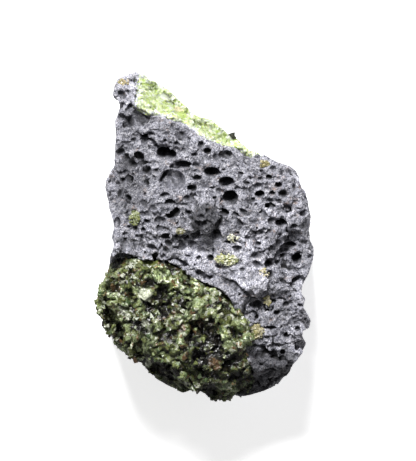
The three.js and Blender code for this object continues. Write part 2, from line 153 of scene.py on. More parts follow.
# %% Blur, waves and ledges
def blurred(field, radius):
    """The field averaged with a bell curve of that radius in millimetres."""
    reach = int(math.ceil(2.2 * radius / CELL))
    weights = np.exp(-0.5 * (np.arange(-reach, reach + 1) * CELL / radius) ** 2)
    weights /= weights.sum()
    for axis in range(3):
        pad = [(reach, reach) if k == axis else (0, 0) for k in range(3)]
        padded = np.pad(field, pad, mode="edge")
        total = np.zeros_like(field)
        for offset, weight in enumerate(weights.astype(np.float32)):
            cut = [slice(offset, offset + field.shape[k]) if k == axis else slice(None) for k in range(3)]
            total += weight * padded[tuple(cut)]
        field = total
    return field


def waves(length, seed):
    """Smooth random swells from -1 to 1, that length in millimetres."""
    chance = np.random.default_rng(seed)
    field = chance.uniform(-1, 1, [int(count * CELL / length) + 3 for count in SHAPE]).astype(np.float32)
    for axis, count in enumerate(SHAPE):
        place = np.arange(count) * CELL / length + chance.uniform()
        whole = place.astype(int)
        share = place - whole
        share = laid_along(axis, (share * share * (3 - 2 * share)).astype(np.float32))
        first, second = field.take(whole, axis), field.take(whole + 1, axis)
        field = first + (second - first) * share
    return field


def ledges(length, seed, steps):
    """Swells sorted into that many flat steps with short slopes between them."""
    swell = steps * (waves(length, seed) + 0.35 * waves(length / 2.3, seed + 1))
    whole = np.floor(swell)
    share = np.clip((swell - whole - 0.72) / 0.28, 0, 1)
    return (whole + share) / steps


def fade(values, start, end):
    """0 before start, 1 after end, and a smooth rise between."""
    share = np.clip((values - start) / (end - start), 0, 1)
    return share * share * (3 - 2 * share)


# %% [markdown]
# ## Broken grains
#
# Rock breaks along its grains, so a fresh surface is a patchwork of tiny flat faces, each with its
# own tilt. `broken` makes such a patchwork: it sows a point in every cube of a loose grid, gives each
# place to its nearest point, and tilts each grain's face by chance. It only works near the surface,
# since that is all that will be seen.

# %% A patchwork of tilted faces
def broken(points, length, seed):
    """For each point, the height of its grain's tilted face in millimetres, and the grain's number."""
    chance = np.random.default_rng(seed)
    counts = np.array([int(count * CELL / length) + 4 for count in SHAPE])
    seeds = chance.random((math.prod(counts), 3)).astype(np.float32)
    tilts = chance.normal(size=(math.prod(counts), 3)).astype(np.float32)
    scaled = ((points - ORIGIN) / length + 1).astype(np.float32)
    own = scaled.astype(int)
    nearest = np.full(len(points), 9, np.float32)
    number = np.zeros(len(points), int)
    for offset in np.ndindex(3, 3, 3):
        cube = own + np.array(offset) - 1
        index = np.ravel_multi_index(cube.T, counts)
        gap = ((scaled - cube - seeds[index]) ** 2).sum(1)
        nearer = gap < nearest
        nearest[nearer], number[nearer] = gap[nearer], index[nearer]
    away = scaled - np.stack(np.unravel_index(number, counts), 1) - seeds[number]
    return (away * tilts[number]).sum(1) * length, number


def break_surface(field, length, seed, steep, depth=1.0):
    """Gives the surface of a field tilted grain faces."""
    near = np.abs(field) < depth
    points = ORIGIN + np.argwhere(near) * CELL
    field[near] += np.clip(steep * broken(points, length, seed)[0], -0.8 * depth, 0.8 * depth)


# %% [markdown]
# ## The tip and the first roughness
#
# At the narrow end the basalt wraps a little further round the band than the solids do, so there it
# takes over the edge of the band's space. Then the whole block is softened and roughened. The swells
# fade out towards the foot, because the underside is one flat break.

# %% Soften and roughen the basalt
# left of this x and above this y, in millimetres, the basalt takes over the band's space
TIP_REACH, TIP_FOOT = -19.5, 35.6
tip_side = np.maximum(X - TIP_REACH + 0.5 * waves(3.0, 9), TIP_FOOT - Y)
band_solid = distance_field("olivine_band")
band_space = np.maximum(band_solid, 0.15 - tip_side)
rock = blurred(np.minimum(basalt_field, np.maximum(band_solid - 0.45, tip_side)), 0.5)
clear_of_foot = fade(Z, 0.6, 4.0)
swells = 0.30 * waves(8.0, 1) + 0.38 * ledges(6.5, 2, 2) + 0.20 * ledges(3.0, 5, 2) + 0.16 * waves(1.7, 7)
rock += clear_of_foot * swells
print("roughened; cells within one cell of the surface:", int((abs(rock) < CELL).sum()))

# %% [markdown]
# ## The outline
#
# Roughness moves the surface in and out by chance, and the edge of the specimen would lose its
# shape. So the outline, as it is seen from above, is laid down as a line of points. Near it the rock
# swells a little, and whatever sticks out past it is cut away. Later steps break the surface again,
# so each mass is cut back a second time once it is broken.

# %% Cut back to the outline
# corners of the outline in millimetres, from the tip down the left side
OUTLINE = [
    (-19.2, 46.6), (-22.3, 45.2), (-24.5, 44.1), (-25.3, 42.4), (-25.9, 40.2), (-25.5, 39.1),
    (-24.2, 38.5), (-23.8, 36.8), (-24.2, 35.1), (-25.1, 32.3), (-24.8, 28.1), (-25.1, 23.7),
    (-25.3, 20.0), (-26.5, 18.1), (-27.6, 16.1), (-27.9, 13.9), (-27.3, 11.1), (-26.7, 8.3),
    (-25.6, 4.9), (-25.3, 2.7), (-25.9, 0.1), (-25.3, -2.4), (-26.5, -5.2), (-27.3, -8.5),
    (-28.1, -11.3), (-29.5, -13.3), (-30.1, -15.3), (-30.4, -18.3), (-30.1, -20.6), (-28.7, -23.1),
    (-28.0, -25.9), (-25.9, -27.9), (-24.2, -31.2), (-22.3, -32.3), (-21.0, -33.7), (-19.3, -34.0),
    (-16.9, -36.8), (-13.9, -39.9), (-10.5, -41.9), (-6.3, -43.7), (-4.3, -43.0), (-2.1, -43.1),
    (0.1, -44.4), (2.2, -45.9), (7.0, -45.9), (8.3, -44.5), (11.1, -44.5), (16.4, -43.0), (20.3, -41.3),
    (23.5, -37.7), (24.5, -34.9), (26.7, -32.5), (28.1, -29.7), (26.9, -27.6), (27.0, -25.8),
    (29.0, -25.3), (29.5, -23.4), (28.3, -21.3), (27.0, -19.3), (27.7, -17.2), (26.7, -15.8),
    (26.7, -13.7), (28.7, -9.7), (30.1, -4.9), (30.1, -2.7), (29.0, -0.7), (28.7, 2.1), (29.5, 5.7),
    (28.7, 10.2), (27.9, 13.0), (26.3, 14.7), (26.2, 17.2), (25.3, 18.8), (23.7, 20.0), (19.5, 21.1),
    (16.7, 22.8), (13.0, 24.5), (11.3, 25.3), (9.0, 27.7), (6.3, 29.1), (4.1, 31.2), (1.5, 33.3),
    (-2.7, 34.2), (-4.9, 36.3), (-9.4, 40.6), (-11.6, 42.4), (-13.9, 43.7), (-15.8, 44.1),
    (-16.4, 45.1),
]


def outline_distance():
    """Distance of every column of cells to the outline, above zero outside it."""
    x, y = X[:, :, 0], Y[:, :, 0]
    nearest, inside = np.full(SHAPE[:2], np.inf), np.full(SHAPE[:2], False)
    for (ax, ay), (bx, by) in zip(OUTLINE, OUTLINE[1:] + OUTLINE[:1]):
        ex, ey = bx - ax, by - ay
        share = np.clip(((x - ax) * ex + (y - ay) * ey) / (ex * ex + ey * ey), 0, 1)
        nearest = np.minimum(nearest, np.hypot(x - ax - share * ex, y - ay - share * ey))
        if ay != by:
            inside ^= ((ay > y) != (by > y)) & (x < ax + (y - ay) * ex / ey)
    return np.where(inside, -nearest, nearest).astype(np.float32)


def fitted(field, swell, inset=0.0):
    """The field swollen near the outline, by that many millimetres at most, and cut back to it."""
    near = (1 - fade(-past_outline, 0.0, 3.0)) * fade(Z, 5.0, 14.0) * (1 - fade(Z, 30.0, 36.0))
    return np.maximum(field - swell * near, past_outline + inset)


past_outline = outline_distance()[:, :, None]
rock = fitted(rock, 1.1)
print("outline corners:", len(OUTLINE))

# %% [markdown]
# ## Ledges
#
# The front face broke in slabs. Where a slab ends it leaves a sharp ledge with a shadow under it.
# A soft swell can't give that, so each ledge is cut along a listed line: a wall that leans in
# under the edge, and a floor that climbs back to the old surface some way off. The rock falls away on
# the left of each line, and a little noise keeps the line from looking drawn.

# %% Cut the ledges
# points of the edge, drop and width of the fallen strip; all in millimetres
LEDGES = [
    ([(3.8, 4.6), (2.4, 1.8), (0.2, 0.9), (-1.5, 0.7), (-3.4, 0.6), (-5.4, 0.0), (-9.2, -1.2)],
     1.15, 2.0),
    ([(-7.6, -1.4), (-11.0, -0.4), (-13.9, 0.2), (-16.5, 1.6)], 0.8, 2.0),
    ([(1.6, 11.0), (3.0, 8.5), (3.9, 6.3), (4.2, 4.6), (3.4, 2.4)], 1.3, 2.0),
    ([(20.5, 5.0), (17.9, 2.3), (16.7, 0.7), (15.5, 0.1), (14.1, 1.1), (12.7, 2.5), (9.5, 4.3),
      (6.5, 6.0)], 0.9, 2.2),
    ([(22.6, 4.2), (22.4, -0.5), (20.9, -2.3), (19.9, -4.1), (19.5, -5.7), (17.5, -6.9), (16.0, -9.4)],
     2.8, 8.0),
    ([(17.0, -8.4), (18.1, -11.3), (17.4, -13.2), (16.7, -15.3), (15.8, -17.4), (14.6, -17.9)],
     2.0, 5.0),
    ([(16.4, -17.8), (14.6, -17.7), (12.7, -16.1), (10.7, -14.5), (8.7, -12.9), (6.7, -11.9),
      (4.0, -10.6)], 2.2, 6.0),
    ([(18.0, -17.5), (15.8, -18.8), (14.0, -20.3), (10.5, -21.8), (8.0, -21.0)], 1.2, 3.5),
    ([(26.5, -35.5), (24.2, -34.5), (22.7, -32.9), (20.7, -32.3), (18.6, -32.7), (15.8, -31.7),
      (14.3, -29.5), (12.3, -28.9), (9.5, -28.6)], 2.8, 5.0),
    ([(24.5, -36.0), (20.7, -36.5), (18.6, -37.5), (15.8, -36.9), (12.0, -38.4)], 1.8, 3.5),
    ([(22.0, -39.4), (18.6, -39.7), (16.3, -41.1), (13.9, -40.5), (10.0, -41.7)], 1.8, 3.5),
    ([(30.8, -8.8), (28.3, -10.9), (26.3, -11.9), (24.3, -12.3), (21.5, -11.0)], 2.4, 5.0),
    ([(-8.6, 24.8), (-13.0, 25.8), (-16.4, 27.8), (-18.4, 30.2)], 1.2, 4.0),
]


def surface_heights(field):
    """Height of a field's front face over every column of cells."""
    return ORIGIN[2] + CELL * (SHAPE[2] - 1 - np.argmax(field[:, :, ::-1] < 0, axis=2))


def cut_ledge(field, path, drop, width):
    """Lets the mass left of a line fall away in a wedge."""
    corners = np.array(path)
    first = np.clip(((corners.min(0) - width - ORIGIN[:2]) / CELL).astype(int), 0, SHAPE[:2])
    last = np.clip(((corners.max(0) + width - ORIGIN[:2]) / CELL).astype(int), 0, SHAPE[:2])
    part = (slice(first[0], last[0]), slice(first[1], last[1]))
    x, y = X[part[0], :, 0], Y[:, part[1], 0]
    lengths = np.hypot(*np.diff(corners, axis=0).T)
    nearest, aside, along, walked = np.inf, 0.0, 0.0, 0.0
    for (ax, ay), (bx, by), length in zip(path, path[1:], lengths):
        ex, ey = (bx - ax) / length, (by - ay) / length
        step = np.clip((x - ax) * ex + (y - ay) * ey, 0, length)
        gap = np.hypot(x - ax - step * ex, y - ay - step * ey)
        side = np.sign(ex * (y - ay) - ey * (x - ax))
        nearer = gap < nearest
        aside = np.where(nearer, side * gap, aside)
        along = np.where(nearer, (walked + step) / lengths.sum(), along)
        nearest = np.minimum(nearest, gap)
        walked += length
    aside = aside + edge_jags[part]
    depth = drop * fade(np.minimum(along, 1 - along), 0.0, 0.18) * np.clip(1 - aside / width, 0, 1)
    top = surface_heights(field)[part][:, :, None] + CELL
    wall = aside[:, :, None] + 0.3 * np.clip(top - Z, 0, drop)
    field[part] = np.maximum(field[part], np.minimum(wall, Z - top + depth[:, :, None]))


# %% [markdown]
# ## The lump, the steps and the slab
#
# Three more forms belong to the front face. A dark lump stands out near the middle. The slope at the
# lower right is broken into small steps. The fresh slab over the nodule is smoother and has fewer
# hollows, so there the field is drawn towards its own blurred copy. After that the rock is cut back to
# its outline for the second time.

# %% Lump, steps and slab
# x, y, half length and half width of the slab in millimetres, and its turn in degrees
SLAB = (7.0, -7.0, 13.0, 5.5, -33)


def on_slab():
    """1 over the slab, 0 away from it, for every column of cells."""
    x, y, half_length, half_width, turn = SLAB
    turn = math.radians(turn)
    along = ((X - x) * math.cos(turn) + (Y - y) * math.sin(turn)) / half_length
    across = ((Y - y) * math.cos(turn) - (X - x) * math.sin(turn)) / half_width
    return 1 - fade(np.hypot(along, across), 0.7, 1.1)


LUMP, LUMP_HEIGHT = (-0.1, 5.5), 0.7
from_lump = np.hypot(X - LUMP[0], 0.9 * (Y - LUMP[1])) + 1.1 * waves(2.4, 16)
rock -= LUMP_HEIGHT * (1 - fade(from_lump, 2.4, 4.2))
edge_jags = (0.7 * waves(2.6, 14) + 0.5 * waves(1.1, 15))[:, :, SHAPE[2] // 2]
for path, drop, width in LEDGES:
    cut_ledge(rock, path, drop, width)
# the dark slope at the lower right is all small steps
stepped = fade(X, 7.0, 11.0) * (1 - fade(Y, -31.0, -27.0)) * fade(Z, 3.0, 7.0)
rock += stepped * (0.9 * ledges(3.4, 17, 2) + 0.5 * waves(1.6, 19))
break_surface(rock, 2.6, 21, 0.22)
break_surface(rock, 1.3, 22, 0.17, 0.8)
rock += 0.65 * on_slab() * (blurred(rock, 0.7) - rock)
rock = fitted(rock, 0.0, -0.15)
print("ledges:", len(LEDGES))

# %% [markdown]
# ## Gas hollows
#
# When the lava froze, its gas stayed behind as bubbles. The break cuts through hundreds of them. The
# larger ones on the front face are listed one by one, since their places give this rock its look.
# Each is an egg-shaped cut, a little ragged, whose upper rim overhangs, so it holds a shadow. The
# small ones are scattered by chance over the whole rock, many tiny ones for each large one.

# %% The larger hollows of the front face
# x, y, width, height, turn in degrees, depth; all in millimetres
FRONT_HOLLOWS = [
    (-17.8, 33.3, 5.3, 3.2, -27, 2.7), (-20.8, 32.3, 2.2, 2.5, 0, 2.3), (-20.8, 36.3, 1.6, 1.6, 0, 2.0),
    (-23.4, 37.0, 1.8, 1.2, 20, 1.8), (-16.8, 27.4, 1.7, 2.4, -15, 2.0),
    (-15.5, 28.8, 1.7, 1.1, 15, 1.2), (-14.7, 26.7, 2.4, 1.2, -38, 1.5),
    (-13.0, 25.3, 2.4, 0.9, -20, 1.3), (-11.2, 27.1, 0.8, 0.8, 0, 0.8),
    (-6.8, 28.5, 3.1, 2.2, -20, 1.0), (-1.2, 26.0, 1.4, 1.5, 0, 1.4), (0.6, 24.2, 1.7, 1.4, -35, 1.5),
    (-11.4, 23.6, 3.4, 2.6, -25, 4.9), (-9.7, 23.0, 2.6, 2.3, 0, 4.9), (-3.2, 23.1, 1.8, 1.0, 0, 0.8),
    (6.2, 23.4, 2.2, 1.5, -20, 1.8), (12.0, 21.8, 2.5, 2.5, 0, 2.4), (-18.3, 22.7, 2.8, 2.0, -45, 2.2),
    (-6.6, 20.3, 5.3, 1.7, 8, 2.8), (-20.6, 20.3, 2.8, 2.2, -20, 2.3), (-2.6, 18.7, 1.1, 0.8, 0, 0.7),
    (-13.5, 18.8, 1.4, 1.1, 0, 0.8), (1.9, 18.4, 3.4, 2.2, -8, 4.0), (5.0, 19.0, 1.0, 0.7, 0, 0.7),
    (9.9, 18.0, 1.1, 0.7, 0, 0.7), (-21.0, 16.4, 2.2, 1.7, -25, 2.6), (-23.0, 16.3, 1.3, 1.0, 0, 1.2),
    (-16.4, 4.8, 1.3, 0.9, -40, 1.2), (-26.2, 15.3, 1.1, 0.7, 0, 0.7), (-9.0, 16.1, 5.8, 5.2, -15, 2.6),
    (-11.4, 17.1, 3.4, 1.1, 58, 2.4), (-2.4, 16.9, 2.2, 1.4, 0, 1.1), (5.8, 15.5, 3.5, 2.4, 0, 4.2),
    (-4.3, 14.0, 1.3, 1.3, 0, 1.8), (1.9, 14.0, 1.7, 0.7, 0, 0.7), (8.8, 14.0, 1.4, 0.8, 0, 0.7),
    (11.5, 15.3, 1.4, 0.8, 0, 0.7), (-11.3, 12.0, 2.2, 1.1, 10, 1.0), (-2.0, 12.3, 1.8, 1.1, 0, 0.9),
    (6.9, 11.3, 3.4, 3.0, 0, 4.4), (-17.1, 9.8, 2.2, 1.7, -20, 0.7), (-9.9, 10.0, 2.2, 1.4, 10, 1.7),
    (-12.3, 9.2, 2.8, 1.4, 0, 0.7), (-8.2, 7.3, 1.7, 2.0, -20, 1.7), (-4.9, 6.8, 1.7, 1.4, 0, 1.5),
    (-10.5, 6.2, 1.3, 0.8, 0, 0.7), (-12.6, 4.8, 2.8, 2.3, 0, 1.1), (-9.0, 5.0, 1.3, 1.1, 0, 0.9),
    (-5.9, 4.7, 2.5, 2.2, 0, 1.1), (-2.7, 8.8, 3.0, 2.4, 0, 1.1), (2.5, 11.1, 1.1, 0.8, 0, 0.9),
    (5.1, 7.3, 2.5, 1.4, -20, 1.8), (8.5, 6.7, 1.7, 0.8, -20, 1.1), (-24.5, 4.5, 1.4, 2.2, 0, 1.1),
    (-21.3, 3.2, 1.1, 0.8, 0, 0.7), (-17.2, 2.4, 1.1, 1.1, 0, 1.1), (3.0, 0.9, 2.8, 2.4, -20, 1.5),
    (8.9, 1.4, 1.4, 0.8, 0, 0.7), (-3.9, -1.4, 2.6, 1.9, -15, 0.9), (-0.5, -3.4, 2.7, 1.4, -10, 0.7),
    (2.2, -3.6, 0.6, 0.6, 0, 0.7), (-4.9, -4.9, 1.3, 0.6, 0, 0.7), (-23.2, -5.5, 4.6, 2.0, 8, 4.4),
    (-6.6, -6.7, 3.1, 1.1, -25, 1.8), (14.3, 20.9, 1.7, 0.7, -30, 0.7), (15.4, 16.5, 1.7, 1.0, 0, 0.7),
    (17.6, 17.0, 1.5, 1.1, -15, 1.2), (22.3, 17.6, 3.1, 2.2, -20, 0.8),
    (20.2, 14.9, 1.7, 1.3, -10, 1.4), (25.0, 15.7, 2.0, 0.6, -30, 0.7), (15.0, 12.3, 2.1, 1.5, 0, 2.6),
    (18.5, 12.5, 1.4, 1.1, -20, 1.2), (24.8, 13.4, 0.8, 0.8, 0, 0.7), (13.2, 10.8, 1.0, 1.0, 0, 0.7),
    (17.4, 10.5, 0.8, 0.8, 0, 0.7), (20.3, 10.5, 1.4, 0.8, 0, 0.7), (18.2, 9.1, 2.1, 1.0, -10, 1.4),
    (23.4, 8.1, 3.4, 2.2, 0, 0.8), (15.4, 7.5, 1.4, 0.8, 0, 0.7), (10.6, 7.3, 2.5, 1.1, -30, 1.0),
    (21.0, 4.2, 2.5, 1.7, -8, 3.0), (24.5, 3.4, 1.7, 1.0, 0, 1.2), (23.1, 1.9, 1.4, 0.8, 0, 0.7),
    (25.4, 1.2, 2.0, 0.8, 0, 0.8), (28.0, 2.6, 1.1, 1.1, 0, 0.7), (28.9, 4.6, 1.1, 1.1, 0, 0.7),
    (23.7, -1.8, 2.5, 1.4, 10, 1.8), (27.4, -1.3, 2.8, 1.7, 0, 0.7), (29.0, -5.1, 1.1, 1.1, 0, 0.7),
    (25.4, -5.5, 2.2, 2.2, 0, 3.2), (26.1, -3.9, 1.4, 0.6, 0, 0.7), (21.4, -4.7, 1.7, 1.0, 0, 0.8),
    (20.0, -6.7, 1.7, 1.0, 20, 0.8), (14.6, -4.9, 3.4, 2.4, 0, 1.2), (17.8, -6.9, 2.8, 2.2, 40, 2.4),
    (8.7, -2.4, 2.2, 0.8, 0, 0.7), (6.4, -0.9, 1.7, 0.8, 0, 0.7), (25.5, -11.5, 3.6, 1.4, 30, 2.1),
    (24.8, -9.5, 1.1, 0.7, 0, 0.7), (20.9, -16.7, 1.1, 0.7, 0, 0.7), (19.8, -20.6, 1.4, 1.1, -20, 1.2),
    (26.3, -18.6, 1.4, 0.8, 0, 1.0), (22.6, -26.8, 1.4, 1.3, -30, 1.3), (17.4, -27.5, 0.6, 0.6, 0, 0.7),
    (25.7, -25.2, 1.4, 1.3, 20, 1.3), (20.2, -29.9, 2.5, 1.4, 0, 0.7), (18.2, -24.8, 2.5, 0.8, 0, 1.4),
    (25.4, -32.7, 1.7, 1.1, 0, 0.8), (21.1, -24.6, 0.7, 0.7, 0, 0.7),
]
ragged = 0.5 * waves(1.9, 11) + 0.5 * waves(1.0, 12)


def face_height(x, y, size):
    """Height of the higher ground of the uncut front face around a hollow of that size."""
    i, j = round((x - ORIGIN[0]) / CELL), round((y - ORIGIN[1]) / CELL)
    reach = math.ceil((size / 2 + 0.5) / CELL)
    return float(np.percentile(face[i - reach:i + reach + 1, j - reach:j + reach + 1], 65))


def carve(centre, radii, turn=0.0, lean=0.0, raggedness=0.15):
    """Cuts an egg-shaped hollow. lean moves its floor towards +Y as it goes down."""
    reach = 1.35 * max(radii) + 1
    first = np.clip(((np.array(centre) - reach - ORIGIN) / CELL).astype(int), 0, SHAPE)
    last = np.clip(((np.array(centre) + reach - ORIGIN) / CELL).astype(int) + 2, 0, SHAPE)
    block = tuple(slice(a, b) for a, b in zip(first, last))
    if min(last - first) < 1:
        return
    dx, dy, dz = X[block[0]] - centre[0], Y[:, block[1]] - centre[1], Z[:, :, block[2]] - centre[2]
    dy = dy + lean * np.minimum(dz, 0)
    along = (dx * math.cos(turn) + dy * math.sin(turn)) / radii[0]
    across = (dy * math.cos(turn) - dx * math.sin(turn)) / radii[1]
    distance = (np.sqrt(along**2 + across**2 + (dz / radii[2]) ** 2) - 1) * min(radii)
    distance = distance + raggedness * min(0.9, min(radii)) * ragged[block]
    rock[block] = np.maximum(rock[block], -distance)


LOWERED = 0.3  # how far towards -Y a hollow is set, since its upper rim overhangs, in millimetres
# how many times wider than listed, how far sunk into the rock, and how far the floor leans
DEEP, SHALLOW = (1.3, 0.4, 0.4), (1.2, 0.0, 0.15)
TALLER = 1.1
uncut = rock.copy()
face = surface_heights(uncut)
for x, y, width, height, turn, depth in FRONT_HOLLOWS:
    top = face_height(x, y, max(width, height))
    deep = depth / math.sqrt(width * height) > 0.5
    widen, sink, lean = DEEP if deep else SHALLOW
    taller = TALLER * widen if deep else widen
    radii = (widen * width / 2, taller * height / 2, max(depth, 0.35 * height))
    carve((x, y - LOWERED, top - sink * min(depth, height)), radii, math.radians(turn), lean)
print("larger hollows:", len(FRONT_HOLLOWS))

# %% Scatter the small hollows
def cells_at(points):
    """The nearest cell of each point."""
    return np.clip(np.rint((points - ORIGIN) / CELL).astype(int), 0, np.array(SHAPE) - 1)


def sampled(field, points):
    """The field's value at each point."""
    at = cells_at(points)
    return field[at[:, 0], at[:, 1], at[:, 2]]


def surface_cells(field, near=0.5):
    """Centres, in millimetres, of the cells that the surface passes through."""
    found = np.argwhere(np.abs(field) < near * CELL)
    return ORIGIN + found * CELL


def in_listed_hollow(points):
    """True for the points of the front face over one of the listed hollows."""
    inside = np.full(len(points), False)
    for x, y, width, height, *_ in FRONT_HOLLOWS:
        inside |= np.hypot((points[:, 0] - x) / width, (points[:, 1] - y) / height) < 0.6
    return inside & (points[:, 2] > 24)


SMALL_HOLLOWS = 1700
BARE_SHARE = 0.75  # share of the slab that gets no small hollows
chance = np.random.default_rng(31)
skin = surface_cells(rock)
bare = chance.random(len(skin)) < BARE_SHARE * sampled(np.broadcast_to(on_slab(), SHAPE), skin)
skin = skin[(skin[:, 2] > 1.2) & ~in_listed_hollow(skin) & ~bare]
picked = skin[chance.choice(len(skin), SMALL_HOLLOWS, replace=False)]
for place in picked:
    radius = 0.36 + 0.8 * chance.random() ** 3.5
    longer = radius * chance.uniform(1.0, 1.6)
    deeper = radius * chance.uniform(0.9, 1.5)
    turn = chance.uniform(-0.9, 0.5)
    carve(place - (0, 0, 0.15), (longer, radius, deeper), turn, 0.1)
rock = np.maximum(np.maximum(rock, -Z), Z - high_mm[2] - 0.3)
print("small hollows:", len(picked))

# %% [markdown]
# ## From field to mesh
#
# OpenVDB lays a fine net of squares where the field crosses zero. Loose crumbs that the cuts left in
# the air are thrown away: only the largest island stays. The net is then thinned with the Decimate
# modifier, which takes points from the flatter places first and keeps the crisp rims.
#
# Each point also remembers how deep it lies in a hollow, as an attribute named `cavity`. The finish
# uses it later to paint shade into the hollows, darkest deep inside them, and to keep ridges paler.

# %% Mesh helpers
def field_surface(field, bend=0.0):
    """Points in millimetres, triangles and squares of the zero surface of a field."""
    grid = openvdb.FloatGrid()
    grid.background = 2.0
    grid.copyFromArray(np.clip(field, -2, 2).astype(np.float32))
    points, triangles, squares = grid.convertToPolygons(0.0, bend)
    return points * CELL + ORIGIN, triangles.astype(np.int64), squares.astype(np.int64)


def largest_island(count, triangles, squares):
    """True for the points of the largest connected part."""
    ends = [triangles[:, [0, 1]], triangles[:, [1, 2]]]
    ends += [squares[:, [0, 1]], squares[:, [1, 2]], squares[:, [2, 3]]]
    ends = np.concatenate(ends)
    label = np.arange(count)
    while True:
        lower = np.minimum(label[ends[:, 0]], label[ends[:, 1]])
        before = label.copy()
        np.minimum.at(label, ends[:, 0], lower)
        np.minimum.at(label, ends[:, 1], lower)
        label = label[label]
        if (label == before).all():
            return label == np.bincount(label).argmax()


def mesh_object(name, points, faces):
    """A mesh from points in millimetres and a list of face arrays, one for each number of corners."""
    corners = np.concatenate([group.ravel() for group in faces])
    sides = np.concatenate([np.full(len(group), group.shape[1]) for group in faces])
    mesh = bpy.data.meshes.new(name)
    mesh.vertices.add(len(points))
    mesh.vertices.foreach_set("co", (np.asarray(points) * MM).astype(np.float32).ravel())
    mesh.loops.add(len(corners))
    mesh.loops.foreach_set("vertex_index", corners.astype(np.int32))
    mesh.polygons.add(len(sides))
    mesh.polygons.foreach_set("loop_start", (np.cumsum(sides) - sides).astype(np.int32))
    mesh.update(calc_edges=True)
    mesh.validate()
    made = bpy.data.objects.new(name, mesh)
    bpy.context.collection.objects.link(made)
    return made


def keep_points(keep, triangles, squares):
    """Faces renumbered to the kept points."""
    number = np.cumsum(keep) - 1
    return [number[group[keep[group].all(1)]] for group in (triangles, squares)]


def thinned(made, zone, share):
    """The object with the triangles at the points of a zone thinned to that share."""
    group = made.vertex_groups.new(name="zone")
    group.add(np.flatnonzero(zone).tolist(), 1.0, "REPLACE")
    thin = made.modifiers.new("thin", "DECIMATE")
    thin.vertex_group = "zone"
    thin.ratio = 1 - (1 - share) * float(zone.mean())
    graph = bpy.context.evaluated_depsgraph_get()
    mesh = bpy.data.meshes.new_from_object(made.evaluated_get(graph))
    made.modifiers.clear()
    made.data = mesh
    made.vertex_groups.clear()
    return made


def within(made, most, *zones):
    """The object thinned zone by zone, and then all over to at most that many triangles."""
    for zone, share in zones:
        thinned(made, zone(mesh_points(made.data)), share)
    made.data.calc_loop_triangles()
    everywhere = np.full(len(made.data.vertices), True)
    return thinned(made, everywhere, min(1.0, most / len(made.data.loop_triangles)))


def mesh_points(mesh):
    """The mesh's points in millimetres."""
    points = np.empty(3 * len(mesh.vertices), np.float32)
    mesh.vertices.foreach_get("co", points)
    return points.reshape(-1, 3) / MM


# %% The basalt's mesh
BASALT_TRIANGLES = 195000


def foot(points):
    """The points near the floor."""
    return points[:, 2] < 4


def low_sides(points):
    """The points low on the sides."""
    return (points[:, 2] >= 4) & (points[:, 2] < 16)


def sides(points):
    """The points between the foot and the front face."""
    return (points[:, 2] >= 4) & (points[:, 2] < 25)


def hidden_sides(points):
    """The sides without the low ground that is seen from above."""
    at = cells_at(points)
    return sides(points) & (points[:, 2] < front[at[:, 0], at[:, 1]] - 1.0)


front = surface_heights(rock)
points, triangles, squares = field_surface(rock)
keep = largest_island(len(points), triangles, squares)
basalt = mesh_object("basalt", points[keep], keep_points(keep, triangles, squares))
print("basalt net:", len(basalt.data.polygons), "faces")
basalt = within(basalt, BASALT_TRIANGLES, (foot, 0.05), (hidden_sides, 0.15))
basalt.data.calc_loop_triangles()
print("basalt triangles:", len(basalt.data.loop_triangles))

# %% Crumbled skin and cavities
GRAIN_JITTER = 0.02  # in millimetres
chance = np.random.default_rng(33)
points = mesh_points(basalt.data)
cavity = 0.55 * sampled(blurred(rock, 1.1), points) + 0.45 * sampled(blurred(rock, 0.5), points)
# painted shade: points lying deep inside a hollow are marked for still darker colour
painted_deep_shade = 0.25 * fade(-sampled(uncut, points), 1.2, 2.7)
points += chance.normal(0, GRAIN_JITTER, points.shape) * fade(points[:, 2:], 0.1, 0.8)
basalt.data.vertices.foreach_set("co", (points * MM).astype(np.float32).ravel())
basalt.data.shade_flat()
# the cavity attribute carries the painted shade of the hollows into the basalt's finish
hollow = basalt.data.attributes.new("cavity", "FLOAT", "POINT")
hollow.data.foreach_set("value", np.clip(0.5 - cavity + painted_deep_shade, 0, 1).astype(np.float32))
print("cavity from", round(float(cavity.min()), 2), "to", round(float(cavity.max()), 2))

# %% [markdown]
# ## Pale and dark areas
#
# The rock isn't one even grey. The slab over the nodule is paler, and so are some other listed areas.
# The slope at the lower right, a recess at the right edge and the ground round a hollow below the top
# knob are painted darker, as painted shade, and a small bright spot on the lump is a painted
# highlight. A few pale areas lighten the painted shade under the lump's ledge and in the large bowl. A
# second attribute, `tone`, holds such areas. It also holds a pale rim beside the band, where the lava
# chilled against it.

# %% Pale and dark areas of the basalt
# x, y and radius in millimetres, and a tone: above zero paler, below zero darker
# painted highlight: the small bright spot at (-0.7, 3.9) on the lump; the pale areas at (-3.5, -0.8) and
# (-8.4, 15.4) lighten painted shade
# painted shade: the dark areas at the lower right, where y is below -35, at the right edge near (26, -5.5)
# and round the hollow near (-17, 33)
AREAS = [
    (8.5, -5.5, 6.5, 0.34), (2.5, -7.0, 5.0, 0.3), (13.5, -3.0, 5.0, 0.3), (12.0, -11.0, 5.5, 0.3),
    (-22.0, 45.0, 6.5, 0.12), (-21.8, 43.3, 2.0, 0.25), (-8.4, 15.4, 2.3, 0.3), (-0.7, 3.9, 0.7, 1.6),
    (-17.0, 33.2, 2.9, -0.45), (-3.5, -0.8, 3.8, 0.5),
    (-0.2, 5.3, 4.3, -1.2), (-17.0, 27.0, 9.0, -0.12), (-20.5, 32.5, 4.5, -0.35),
    (18.0, -37.8, 7.0, -1.0), (22.5, -35.5, 4.0, -0.8), (13.0, -41.5, 5.0, -1.0),
    (-20.0, 17.5, 5.5, -0.4), (-20.0, 10.0, 5.5, -0.35), (21.0, 12.0, 7.5, 0.14),
    (-18.5, -1.0, 6.0, 0.06), (-2.5, -4.5, 5.0, 0.3), (24.5, -10.5, 3.5, 0.12), (21.0, 6.0, 5.0, 0.1),
    (-14.5, -1.0, 3.5, 0.15), (23.5, -21.0, 4.5, -0.25), (26.0, -5.5, 3.5, -0.18),
]
PALE_RIM = 1.3  # width of the rim, in millimetres


